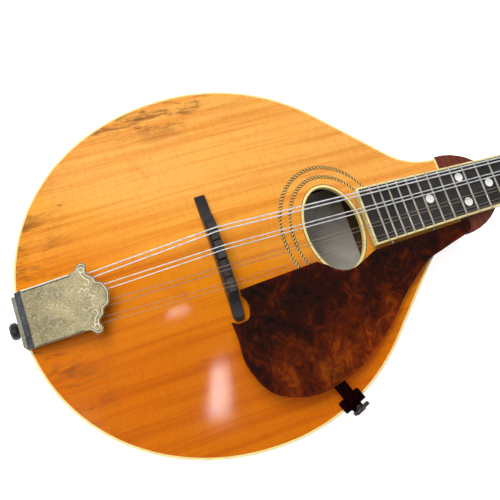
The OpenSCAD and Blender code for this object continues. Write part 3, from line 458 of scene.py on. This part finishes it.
M = {
    "spruce": spruce("spruce_varnished"),
    "bare": spruce("spruce_bare", varnished=False),
    "maple": figured("maple_stained", (0.050, 0.012, 0.005), (0.20, 0.055, 0.016), 0.8, 42),
    "maple_in": figured("maple_inside", (0.13, 0.065, 0.028), (0.20, 0.105, 0.046), 0.4, 42, 0.75, 0.0),
    "mahogany": figured("mahogany_stained", (0.085, 0.013, 0.007), (0.26, 0.060, 0.028), 0.7, 62),
    "riser": figured("riser_wood", (0.10, 0.028, 0.010), (0.24, 0.08, 0.028), 0.5, 90),
    "block": figured("block_wood", (0.16, 0.07, 0.035), (0.24, 0.11, 0.055), 0.3, 60, 0.75, 0.0),
    "binding": celluloid("binding_celluloid", (0.90, 0.75, 0.30), (0.82, 0.60, 0.18)),
    "board_binding": celluloid("board_celluloid", (0.86, 0.74, 0.36), (0.70, 0.53, 0.20)),
    "bone": celluloid("bone", (0.78, 0.72, 0.55), (0.66, 0.56, 0.36), 0.35),
    "button": celluloid("button_celluloid", (0.84, 0.76, 0.54), (0.72, 0.58, 0.30), 0.22),
    "pearl": celluloid("pearl", (0.93, 0.92, 0.88), (0.80, 0.80, 0.78), 0.16),
    "ebony": ebony("ebony_board", 0.40, 0.020, 0.35),
    "ebony_polished": ebony("ebony_bridge", 0.30, 0.013, 0.20),
    "arm": figured("ebonised_arm", (0.004, 0.001, 0.001), (0.020, 0.004, 0.003), 0.5, 60, 0.6, 0.0, 0.0),
    "nickel": metal("nickel_aged", (0.50, 0.48, 0.40), (0.34, 0.31, 0.23), 0.30),
    "cover": metal("nickel_cover", (0.44, 0.355, 0.170), (0.30, 0.245, 0.110), 0.36, 1.0, 0.55, 0.25),
    # Dark nickel for the cover's bent-down rear, and for painted shadow lines beside the raised edge line and
    # along the sides
    "bevel": metal("nickel_dark_rear_and_painted_shadow", (0.10, 0.105, 0.12), (0.035, 0.036, 0.045), 0.42, 0.3, 0.6, 0.8),
    # Painted highlight: the cover's raised lines are coloured pale cream, much lighter than the cover's
    # nickel
    "relief": metal("nickel_relief_painted_highlight", (0.90, 0.84, 0.64), (0.70, 0.62, 0.42), 0.30, 0.3, 0.15, 0.2),
    # Painted highlight: a pale line for the cover's rolled edge
    "lip": metal("nickel_lip_painted_highlight", (0.95, 0.92, 0.80), (0.80, 0.74, 0.58), 0.25, 0.2, 0.3, 0.1),
    "dark_metal": metal("clamp_metal", (0.12, 0.11, 0.11), (0.04, 0.035, 0.035), 0.35, 0.5),
    "steel": metal("steel_plated", (0.58, 0.57, 0.53), (0.40, 0.38, 0.33), 0.28),
    "fret": metal("fret_metal", (0.86, 0.83, 0.70), (0.70, 0.64, 0.48), 0.24, 0.3, 0.85),
    "tortoise": tortoise("tortoise_celluloid"),
    "paper": paper(),
    "rope": rope_pattern(),
    "wound": string_metal("wound_wire", (0.95, 0.95, 0.98), 0.40, 0.35),
    "plain": string_metal("plain_wire", (0.46, 0.38, 0.32), 0.42, 0.5),
}


# ---- Mesh helpers ----
def finish_piece(obj, mat, body_name, nodes=(), bevel=0.0, angle=38, segments=2):
    """Materials, shading, bevel and ride of one new piece."""
    for m in mat if isinstance(mat, (list, tuple)) else [mat]:
        obj.data.materials.append(M[m])
    for poly in obj.data.polygons:
        poly.use_smooth = True
    obj.data.set_sharp_from_angle(angle=math.radians(angle))
    if bevel:
        mod = obj.modifiers.new("edge", "BEVEL")
        mod.width, mod.segments, mod.limit_method = bevel, segments, "ANGLE"
        mod.angle_limit, mod.harden_normals = math.radians(angle), True
    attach(obj, body_name)
    if nodes:
        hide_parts(*nodes)
    return obj


def mesh_object(name, points, faces):
    """A new object from points and faces, with doubled points merged and normals made to agree."""
    me = bpy.data.meshes.new(name)
    me.from_pydata([tuple(p) for p in points], [], faces)
    bm = bmesh.new()
    bm.from_mesh(me)
    bmesh.ops.remove_doubles(bm, verts=bm.verts, dist=1e-6)
    bmesh.ops.recalc_face_normals(bm, faces=bm.faces)
    bm.to_mesh(me)
    bm.free()
    obj = bpy.data.objects.new(name, me)
    bpy.context.scene.collection.objects.link(obj)
    return obj


def refined(node, mat, bevel):
    """A CAD node's own shape with merged faces, smooth shading and softened edges."""
    src = frame["nodes"][node]
    me = src.data
    bm = bmesh.new()
    verts = [bm.verts.new(v.co) for v in me.vertices]
    for poly in me.polygons:
        try:
            bm.faces.new([verts[i] for i in poly.vertices])
        except ValueError:
            pass
    bmesh.ops.remove_doubles(bm, verts=bm.verts, dist=2e-6)
    bmesh.ops.dissolve_limit(bm, angle_limit=math.radians(0.4), verts=bm.verts, edges=bm.edges)
    new = bpy.data.meshes.new(node + "_shape")
    bm.to_mesh(new)
    bm.free()
    obj = bpy.data.objects.new(node + "_piece", new)
    bpy.context.scene.collection.objects.link(obj)
    return finish_piece(obj, mat, src["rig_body"], [node], bevel)


def ring_faces(loops, n, closed_loops=False, caps=False):
    """The four-sided faces between successive loops of n points each."""
    faces = []
    k = len(loops)
    for j in range(k if closed_loops else k - 1):
        a, b = j * n, ((j + 1) % k) * n
        faces += [(a + i, b + i, b + (i + 1) % n, a + (i + 1) % n) for i in range(n)]
    if caps:
        faces += [tuple(range(n)), tuple(range((k - 1) * n, k * n))]
    return faces


def tube_mesh(path, radius, sides=10, closed=False):
    """Points and faces of a round tube along a path; radius is a number or one number per point."""
    n = len(path)
    radii = radius if isinstance(radius, list) else [radius] * n
    up = Vector((0, 0, 1))
    points, faces, normal = [], [], None
    for i, p in enumerate(path):
        a = path[(i - 1) % n] if closed else path[max(i - 1, 0)]
        b = path[(i + 1) % n] if closed else path[min(i + 1, n - 1)]
        t = (b - a).normalized()
        if normal is None:
            normal = t.cross(up if abs(t.z) < 0.9 else Vector((1, 0, 0))).normalized()
        else:
            normal = (normal - t * normal.dot(t)).normalized()
        side = t.cross(normal)
        for j in range(sides):
            w = 2 * math.pi * j / sides
            points.append(p + radii[i] * (math.cos(w) * normal + math.sin(w) * side))
    for i in range(n if closed else n - 1):
        a, b = i * sides, ((i + 1) % n) * sides
        faces += [(a + j, a + (j + 1) % sides, b + (j + 1) % sides, b + j) for j in range(sides)]
    if not closed:
        faces += [tuple(range(sides)), tuple(range((n - 1) * sides, n * sides))]
    return points, faces


def joined(meshes):
    """Several meshes as one list of points and one of faces."""
    points, faces = [], []
    for p, f in meshes:
        base = len(points)
        points += p
        faces += [tuple(i + base for i in face) for face in f]
    return points, faces


def curve(points, steps=6, closed=False):
    """A smooth curve through points given as tuples."""
    n = len(points)
    pts = [Vector(p) for p in points]
    out = []
    for i in range(n if closed else n - 1):
        pick = (lambda k: pts[k % n]) if closed else (lambda k: pts[min(max(k, 0), n - 1)])
        a, b, c, d = pick(i - 1), pick(i), pick(i + 1), pick(i + 2)
        for k in range(steps):
            t = k / steps
            out.append(0.5 * (2 * b + (c - a) * t + (2 * a - 5 * b + 4 * c - d) * t * t
                              + (3 * b - a - 3 * c + d) * t ** 3))
    if not closed:
        out.append(pts[-1])
    return out


# ---- Body ----
PLATE_RINGS = 46


def plate(name, edge, height, z_low, z_high):
    """A carved plate as nested copies of its edge; the faces between are smooth."""
    steps = [i / PLATE_RINGS for i in range(1, PLATE_RINGS + 1)]
    n = len(edge)
    points, faces = [], []
    for z in (z_high, z_low):
        points += [body(x * s, y * s, z + height(x * s, y * s)) for s in steps for x, y in edge]
    m = n * len(steps)
    points += [body(0, 0, z_high + height(0, 0)), body(0, 0, z_low + height(0, 0))]
    for base, flip in ((0, False), (m, True)):
        for j in range(len(steps) - 1):
            for i in range(n):
                a, b = base + j * n + i, base + j * n + (i + 1) % n
                f = (a, a + n, b + n, b)
                faces.append(tuple(reversed(f)) if flip else f)
    for i in range(n):
        k = (i + 1) % n
        faces.append((2 * m, i, k))
        faces.append((2 * m + 1, m + k, m + i))
        faces.append((m - n + i, 2 * m - n + i, 2 * m - n + k, m - n + k))
    return mesh_object(name, points, faces)


def cut_hole(obj, a, b, z0, z1):
    """Cuts an oval hole through a plate and keeps the result as plain mesh."""
    n = 128
    ring = [(HOLE_X + a * math.cos(2 * math.pi * i / n), b * math.sin(2 * math.pi * i / n)) for i in range(n)]
    pts = [body(x, y, z) for z in (z0, z1) for x, y in ring]
    cutter = mesh_object("hole_cutter", pts, ring_faces([0, 1], n, caps=True))
    mod = obj.modifiers.new("hole", "BOOLEAN")
    mod.operation, mod.solver, mod.object = "DIFFERENCE", "EXACT", cutter
    bpy.context.view_layer.update()
    made = bpy.data.meshes.new_from_object(obj.evaluated_get(bpy.context.evaluated_depsgraph_get()))
    obj.modifiers.clear()
    obj.data = made
    bpy.data.objects.remove(cutter)


top = plate("top_plate_piece", outline(BINDING_W, FRONT_LEN - BINDING_W), top_z, -PLATE_T, 0)
cut_hole(top, HOLE_A, HOLE_B, -12, 24)
finish_piece(top, ["spruce", "bare"], "instrument", ["top_plate"], 0, 40)
back_edge = -PLATE_T - SIDE_DEPTH
back = plate("back_plate_piece", outline(), lambda x, y: -BACK_ARCH * arch(x, y),
             back_edge - PLATE_T, back_edge)
finish_piece(back, ["maple", "maple_in"], "instrument", ["back_plate"], 0.0006, 40, 3)
for piece, inside_up in ((top, False), (back, True)):
    for poly in piece.data.polygons:
        inside = poly.normal.z > 0.3 if inside_up else poly.normal.z < -0.3
        poly.material_index = 1 if inside else 0


def wall_ring(name, outer, inner, z0, z1, keep=lambda y: True):
    """A band between two outlines; keep picks the half of it by the side of the middle line."""
    n = len(outer)
    loops = [[(x, y, z1) for x, y in outer], [(x, y, z0) for x, y in outer],
             [(x, y, z0) for x, y in inner], [(x, y, z1) for x, y in inner]]
    pts = [body(*p) for loop in loops for p in loop]
    faces = [f for f in ring_faces(loops, n, closed_loops=True)
             if keep(sum(pts[i].y for i in f) / 4)]
    used = {}
    caps = []
    for f in faces:
        for i in range(4):
            key = tuple(sorted((f[i], f[(i + 1) % 4])))
            used[key] = used.get(key, 0) + 1
    rim = [e for e, c in used.items() if c == 1]
    while rim:
        a, b = rim.pop()
        loop = [a, b]
        while True:
            step = [e for e in rim if loop[-1] in e]
            if not step:
                break
            rim.remove(step[0])
            loop.append(step[0][0] if step[0][1] == loop[-1] else step[0][1])
        if loop[0] == loop[-1]:
            loop.pop()
        caps.append(tuple(loop))
    return mesh_object(name, pts, faces + caps)


for side, sign in (("bass_side", 1), ("treble_side", -1)):
    wall = wall_ring(side + "_piece", outline(), outline(SIDE_T), back_edge, -PLATE_T,
                     lambda y, s=sign: y * s > 0)
    finish_piece(wall, ["maple", "maple_in"], "instrument", [side], 0, 40)
ring = wall_ring("top_binding_piece", outline(), outline(BINDING_W, FRONT_LEN - BINDING_W), -PLATE_T, 0)
finish_piece(ring, "binding", "instrument", ["top_binding"], 0.0004, 40, 3)

# The oval ring round the soundhole, crowned on top, with a thin dark line outside it
HOLE_RING_W = 1.9
OVAL_STEPS = 128


def oval_band(name, a, b, w, low_z, crown):
    """A band w wide inside an oval of half-axes a and b, following the top's arch."""
    section = [(0, low_z), (0, 0.02), (w * 0.25, crown), (w * 0.75, crown), (w, 0.02), (w, low_z)]
    pts = []
    for i in range(OVAL_STEPS):
        t = 2 * math.pi * i / OVAL_STEPS
        for d, z in section:
            x, y = HOLE_X + (a - d) * math.cos(t), (b - d) * math.sin(t)
            pts.append(body(x, y, top_z(x, y) + z))
    m = len(section)
    return mesh_object(name, pts, ring_faces(range(OVAL_STEPS), m, closed_loops=True))


hole_ring = oval_band("soundhole_binding_piece", HOLE_A, HOLE_B, HOLE_RING_W, -3.9, 0.22)
finish_piece(hole_ring, "binding", "instrument", ["soundhole_binding"], 0, 50)
groove = oval_band("soundhole_line", HOLE_A + 0.45, HOLE_B + 0.45, 0.5, -0.2, 0.05)
finish_piece(groove, "ebony", "instrument", (), 0, 50)


def rope_strip(name, a, b, w, h, strand):
    """A flat strip on the top with a map along it, u in strands and v across."""
    first = math.asin((BOARD_W_END / 2 + 0.6) / (b - w))
    n = 220
    pts, uv, length = [], [], 0.0
    last = None
    for i in range(n + 1):
        t = first + (2 * math.pi - 2 * first) * i / n
        mid = Vector((HOLE_X + (a - w / 2) * math.cos(t), (b - w / 2) * math.sin(t), 0))
        length += (mid - last).length if last else 0.0
        last = mid
        for k in range(5):
            d = w * k / 4
            x, y = HOLE_X + (a - d) * math.cos(t), (b - d) * math.sin(t)
            pts.append(body(x, y, top_z(x, y) + (h if 0 < k < 4 else -0.05)))
            uv.append((length / strand, k / 4))
    faces = [(i * 5 + k, i * 5 + k + 1, i * 5 + k + 6, i * 5 + k + 5) for i in range(n) for k in range(4)]
    me = bpy.data.meshes.new(name)
    me.from_pydata([tuple(p) for p in pts], [], faces)
    layer = me.uv_layers.new(name="strip")
    for loop in me.loops:
        layer.data[loop.index].uv = uv[loop.vertex_index]
    obj = bpy.data.objects.new(name, me)
    bpy.context.scene.collection.objects.link(obj)
    return finish_piece(obj, "rope", "instrument", (), 0, 60)


ROPE_W, ROPE_RISE, STRAND = 2.6, 0.11, 2.5
ropes = [rope_strip("rope_ring_outer", 38.6, 47.3, ROPE_W, ROPE_RISE, STRAND),
         rope_strip("rope_ring_inner", 31.7, 40.0, ROPE_W, ROPE_RISE, STRAND)]
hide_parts("rope_rings")

# ---- CAD nodes whose shape is right, with softened edges ----
# The keys' buttons start this far from the middle line
BUTTON_Y = 0.0395

for node, mat, slot, bevel in (
    ("linings", "bare", "bare_spruce", 0), ("neck_block", "block", "mahogany", 0),
    ("tail_block", "block", "mahogany", 0), ("cross_brace", "bare", "bare_spruce", 0.0008),
    ("paper_label", "paper", "aged_paper", 0), ("board_riser", "riser", "mahogany", 0.0003),
    ("fingerboard", "ebony", "ebony", 0), ("board_binding", "board_binding", "binding", 0.0003),
    ("position_dots", "pearl", "pearl", 0), ("nut", "bone", "bone", 0.0004),
    ("head_veneer", "ebony_polished", "ebony", 0.0004), ("bridge_saddles", "ebony_polished", "ebony", 0.0002),
    ("tailpiece_base", "nickel", "nickel", 0.0001), ("end_pin", "ebony_polished", "ebony", 0.0004),
    ("guard_arm", "arm", "ebony", 0.0006), ("guard_pins", "steel", "nickel", 0.0001),
    ("clamp_jaw", "dark_metal", "nickel", 0.0005), ("clamp_screw", "dark_metal", "nickel", 0.0004),
    ("small_screws", "nickel", "nickel", 0.0001), ("bass_tuner_plate", "nickel", "nickel", 0.0003),
    ("treble_tuner_plate", "nickel", "nickel", 0.0003), ("post_bushings", "nickel", "nickel", 0.0002),
    ("bridge_base", "ebony_polished", "ebony", 0.0005), ("neck", "mahogany", "mahogany", 0.0006),
    ("frets", "fret", "fret_metal", 0),
):
    refined(node, mat, bevel)
for i in range(1, 9):
    refined(f"post_{i}", "steel", 0.0001)
    key = refined(f"key_{i}", ["nickel", "button"], 0.0001)
    for poly in key.data.polygons:
        if abs(poly.center.y) > BUTTON_Y:
            poly.material_index = 1


# ---- Strings ----
# Each pair's y at the bridge and at the nut, its wire's radius, and x of its saddle's crest
COURSES = [(17.3, 12, 0.5, -3.2), (4.6, 3.9, 0.38, -2.2), (-8.5, -5.6, 0.2, -4.4),
           (-19.4, -12.2, 0.15, -3.2)]
TAIL_Y = [13.6, 4.6, -4.6, -13.6]
WRAPS = [4, 5, 6, 7]
PAIR_GAP, NUT_GAP, HOOK_GAP, NUT_TOP, CREST_Z = 2.7, 2.2, 3.8, 1.1, 4
HOOK_X, HOOK_Z, EYE_R, EYE_STEPS = -116, 6.4, 0.95, 16
# A string bends over the bridge and the nut within this length, in metres
BEND_RUN = 0.0016
POST_X0, POST_GAP, POST_Y = 27, 23, 17.5
WAIST_R, WAIST_GAP, COIL_Z, COIL_STEPS, COIL_PITCH = 2.3, 0.15, 9.5, 18, 2.1


def post_of(c, k):
    """Which post, 0 to 7, string k (-1 or 1) of pair c goes to."""
    if c < 2:
        return (0 if k > 0 else 1) if c == 0 else (2 if k > 0 else 3)
    return (4 if k < 0 else 5) if c == 3 else (6 if k < 0 else 7)


def string_path(c, k):
    """Hook loop, bridge, nut, then turns down the post."""
    y_bridge, y_nut, r, x_crest = COURSES[c]
    y_tail = TAIL_Y[c] + k * HOOK_GAP / 2
    i = post_of(c, k)
    px, sign = POST_X0 + POST_GAP * (i % 4), 1 if i < 4 else -1
    py = POST_Y * sign
    coil_r = WAIST_R + WAIST_GAP + r
    loop_r = EYE_R + r
    eye = Vector(body(HOOK_X - 1, y_tail, HOOK_Z))
    points = []
    for j in range(EYE_STEPS + 1):
        a = math.radians(20 + 320 * j / EYE_STEPS)
        points.append(eye + Vector((math.cos(a), math.sin(a), 0)) * loop_r * MM)
    points = list(reversed(points)) if k > 0 else points
    crest = board(x_crest, y_bridge + k * PAIR_GAP / 2, CREST_Z)
    start = eye + Vector((loop_r + 2.5, 0, 0)) * MM
    points += [start, start.lerp(crest, 0.5)]
    nut = board(SCALE_LEN, y_nut + k * NUT_GAP / 2, NUT_TOP)
    nut_out = board(SCALE_LEN + NUT_T, y_nut + k * NUT_GAP / 2, NUT_TOP)
    run_in, run_out = (crest - start).normalized() * BEND_RUN, (nut - crest).normalized() * BEND_RUN
    points += [crest - run_in, crest, crest + run_out, nut - run_out, nut_out]
    for j in range(WRAPS[c] * COIL_STEPS + 1):
        a = 2 * math.pi * j / COIL_STEPS
        points.append(head(px + coil_r * math.sin(a), py - sign * coil_r * math.cos(a),
                           COIL_Z - COIL_PITCH * r * a / (2 * math.pi)))
    return points


for c, name in enumerate(("g_strings", "d_strings", "a_strings", "e_strings")):
    meshes = [tube_mesh(string_path(c, k), COURSES[c][2] * MM, 10) for k in (-1, 1)]
    obj = mesh_object(name + "_piece", *joined(meshes))
    finish_piece(obj, "wound" if c < 2 else "plain", "instrument", [name],
                 0, 60)


# ---- Tailpiece cover ----
COVER_X0, BEND_X, SIDE_X, TIP_X, COVER_HW, SHEET = -134.6, -130.2, -99, -78.3, 18.6, 0.9
COVER_FOOT_Z, COVER_BEND_Z, COVER_TIP_Z = 3.6, 6.6, 17
# Half of the scalloped front edge, from the side to the tip
FRONT = [(-97.6, 18.9), (-95.8, 19.3), (-94.1, 20.6), (-92.8, 22.3), (-90.6, 23.1), (-88.4, 22.3),
         (-87.4, 20), (-88.4, 17.4), (-88.3, 15.2), (-86.4, 13.4), (-84.7, 11.8), (-84.5, 9.6),
         (-82.8, 8.4), (-80.7, 7.2), (-79.6, 5.0), (-78.8, 2.6), (-78.3, 0)]


def cover_z(x):
    return COVER_BEND_Z + (x - BEND_X) * (COVER_TIP_Z - COVER_BEND_Z) / (TIP_X - BEND_X)


def cover_point(x, y, up=0.0):
    return body(x, y, cover_z(x) + up)


front = [(x, y, 0) for x, y in [(SIDE_X, COVER_HW)] + FRONT]
front += [(x, -y, 0) for x, y in reversed(FRONT[:-1])] + [(SIDE_X, -COVER_HW, 0)]
smooth_front = [(v.x, v.y) for v in curve(front, 4)]
n = len(smooth_front)
pts = [cover_point(x, y) for x, y in smooth_front]
corner = [cover_point(BEND_X, -COVER_HW), cover_point(BEND_X, COVER_HW),
          body(COVER_X0, -COVER_HW, COVER_FOOT_Z), body(COVER_X0, COVER_HW, COVER_FOOT_Z)]
pts += corner
faces = [tuple(range(n)) + (n, n + 1), (n, n + 2, n + 3, n + 1)]
for s, first, bend, foot in ((1, 0, n + 1, n + 3), (-1, n - 1, n, n + 2)):
    base = len(pts)
    pts += [body(SIDE_X, s * COVER_HW, 6), body(SIDE_X - 8, s * COVER_HW, COVER_FOOT_Z)]
    faces.append((bend, foot, base + 1, base, first))
cover = mesh_object("tailpiece_cover_piece", pts, faces)
if sum(p.normal.z * p.area for p in cover.data.polygons) < 0:
    cover.data.flip_normals()
solid = cover.modifiers.new("sheet", "SOLIDIFY")
solid.thickness, solid.offset, solid.use_even_offset = SHEET * MM, -1, True
finish_piece(cover, ["cover", "bevel"], "cover", ["tailpiece_cover"], 0.00022, 30, 3)
# The bent-down rear behind the bend is coloured with the dark nickel
for poly in cover.data.polygons:
    if poly.center.x < (BEND_X + SHIFT.x) * MM:
        poly.material_index = 1


RELIEF_UP = 0.04


def relief(lines, r, name, mat="relief"):
    """Round lines of radius r laid on the cover; each is a list of points and whether it is closed."""
    meshes = [tube_mesh([cover_point(x, y, RELIEF_UP) for x, y in line], r * MM, 8, closed)
              for line, closed in lines]
    obj = mesh_object(name, *joined(meshes))
    return finish_piece(obj, mat, "cover", (), 0, 60)


def mirrored(line):
    return [line, [(x, -y) for x, y in line]]


def plane_curve(points):
    return [(v.x, v.y) for v in curve([(x, y, 0) for x, y in points], 8)]


def scaled_front(d):
    """The scalloped edge drawn inside itself by d."""
    line = plane_curve(FRONT[1:] + [(x, -y) for x, y in reversed(FRONT[1:-1])])
    out = []
    for i, (x, y) in enumerate(line):
        a, b = line[max(i - 1, 0)], line[min(i + 1, len(line) - 1)]
        t = Vector((b[0] - a[0], b[1] - a[1]))
        t.normalize()
        out.append((x + t.y * d, y - t.x * d))
    return out


scroll = plane_curve([(-94.2, 17.2), (-91.4, 20.4), (-89.4, 18.8), (-90.8, 16.6), (-92.3, 18.0),
                      (-90.6, 13.2), (-88.4, 11.0), (-88.9, 8.2), (-90.9, 8.6), (-90.6, 10.3)])
leaf = plane_curve([(-96.5, 5.2), (-93.6, 7.2), (-92.4, 5.4), (-90.8, 6.6), (-89.4, 4.6)])
diamond = [(-93.2, 0), (-90.0, 2.5), (-86.8, 0), (-90.0, -2.5)]
small_diamond = [(-92.1, 0), (-90.0, 1.6), (-87.9, 0), (-90.0, -1.6)]
lines = [(scaled_front(1.0), False)]
lines += [(m, False) for line in (scroll, leaf) for m in mirrored(line)]
lines += [(diamond, True), (small_diamond, True)]
# The raised edge line, scrolls, leaves and diamonds, in the painted-highlight nickel
relief(lines, 0.30, "cover_relief")
# Painted shadow: dark lines on both sides of the raised edge line
relief([(scaled_front(d), False) for d in (0.45, 1.75)], 0.16, "cover_edge_painted_shadow", "bevel")
# Painted highlight along the rolled edge of the cover's bass side only
relief([([(BEND_X + 0.4, COVER_HW - 0.6), (SIDE_X, COVER_HW - 0.6)], False)], 0.56, "cover_lip_highlight", "lip")
# Painted shadow: dark lines along the sides, one inside the bass side's highlight line and one at the treble
# edge
relief([([(BEND_X + 0.6, y), (SIDE_X, y)], False) for y in (COVER_HW - 1.45, -COVER_HW + 0.5)], 0.2,
       "cover_side_painted_shadow", "bevel")


# ---- Pickguard ----
GUARD_T = 2.0
RIM = [(178.5, -20.9), (178.2, -26.5), (176, -29.2), (171, -31.2), (160, -34), (149, -37),
       (137, -40.6), (122, -50.2), (108, -61), (96.5, -72.2), (86.5, -79.6), (66, -92.6),
       (43, -100.2), (26, -101), (13, -98), (2, -92), (-5, -82.6), (-10, -68), (-10, -52),
       (-11, -41.4)]
# Round the treble foot of the bridge
NOTCH = [(-7, -43.6), (-3.4, -43.6), (0.8, -42.2), (3, -37.4), (3.2, -32), (0.8, -27.2)]
rim_line = [(v.x, v.y) for v in curve([(x, y, 0) for x, y in RIM], 6)]
notch_line = [(v.x, v.y) for v in curve([(x, y, 0) for x, y in NOTCH], 5)]
arc = []
for i in range(33):
    t = math.radians(-128 + 56 * i / 32)
    x, y = HOLE_X + 20 * math.cos(t) * 1.16, 31 * math.sin(t)
    if y < -22:
        arc.append((x, y))
guard_line = [(0.6, -23.2), (57, -19.7)] + arc + [(100.6, -23.2)] + rim_line + notch_line
n = len(guard_line)
pts = [guard_plane(x, y, z) for z in (0, -GUARD_T) for x, y in guard_line]
faces = [tuple(range(n)), tuple(reversed(range(n, 2 * n)))]
faces += [(i, i + n, (i + 1) % n + n, (i + 1) % n) for i in range(n)]
guard = mesh_object("pickguard_piece", pts, faces)
finish_piece(guard, "tortoise", "instrument", ["pickguard"], 0.0005, 40, 3)

# ---- Stage, light and camera ----
bpy.ops.mesh.primitive_grid_add(x_subdivisions=8, y_subdivisions=8, size=6, location=(0, 0, -0.0002))
floor = bpy.context.object
floor.name = "floor"
floor.data.materials.append(plain_stage("stage_floor", (0.93, 0.93, 0.93), 0.78))

world = bpy.data.worlds.new("soft_room")
bpy.context.scene.world = world
world.use_nodes = True
world.node_tree.nodes["Background"].inputs["Color"].default_value = (1, 1, 1, 1)
world.node_tree.nodes["Background"].inputs["Strength"].default_value = 0.24


def soft_box(name, at, target, size, power, mirrored=False):
    """A rectangular lamp; only a mirrored one shows as a reflection."""
    data = bpy.data.lights.new(name, "AREA")
    data.shape, data.size, data.size_y, data.energy = "RECTANGLE", size[0], size[1], power
    lamp = bpy.data.objects.new(name, data)
    bpy.context.scene.collection.objects.link(lamp)
    lamp.location = at
    lamp.rotation_euler = (Vector(target) - Vector(at)).to_track_quat("-Z", "Y").to_euler()
    lamp.visible_glossy = mirrored
    return lamp


soft_box("window_far", (-0.45, 1.0, 1.35), (0, 0, 0.05), (1.1, 0.8), 19)
soft_box("overhead", (-0.85, 0.35, 1.7), (-0.05, 0, 0.05), (1.0, 1.0), 11)
soft_box("tail_glow", (-1.1, 0.1, 1.3), (-0.25, 0, 0.05), (0.5, 0.8), 2.5, True)
for i, (at, power) in enumerate((((-0.168, -0.346, 1.235), 0.42), ((-0.130, -0.362, 1.233), 0.30),
                                 ((-0.352, -0.012, 1.264), 0.25), ((-0.300, -0.022, 1.264), 0.18))):
    soft_box(f"window_{i}", at, (-0.21, -0.06, 0.06), (0.045, 0.045), power, True)

# The main view: the camera's place in the design frame, its lens in mm and its own axes
CAMERA_AT, LENS = (-77.2, -80.5, 427.4), 47.44
CAMERA_RIGHT, CAMERA_UP = Vector((0.9363, -0.3184, 0.1481)), Vector((0.2774, 0.9292, 0.2441))
CAMERA_BACK = Vector((-0.2153, -0.1875, 0.9583))
camera_data = bpy.data.cameras.new("camera")
camera_data.lens, camera_data.sensor_width = LENS, 36
camera_data.clip_start, camera_data.clip_end = 0.01, 20
camera = bpy.data.objects.new("camera", camera_data)
bpy.context.scene.collection.objects.link(camera)
turn = Matrix((CAMERA_RIGHT, CAMERA_UP, CAMERA_BACK)).transposed().to_4x4()
camera.matrix_world = Matrix.Translation(body(*CAMERA_AT)) @ turn
bpy.context.scene.camera = camera
bpy.context.scene.view_settings.view_transform = "Standard"
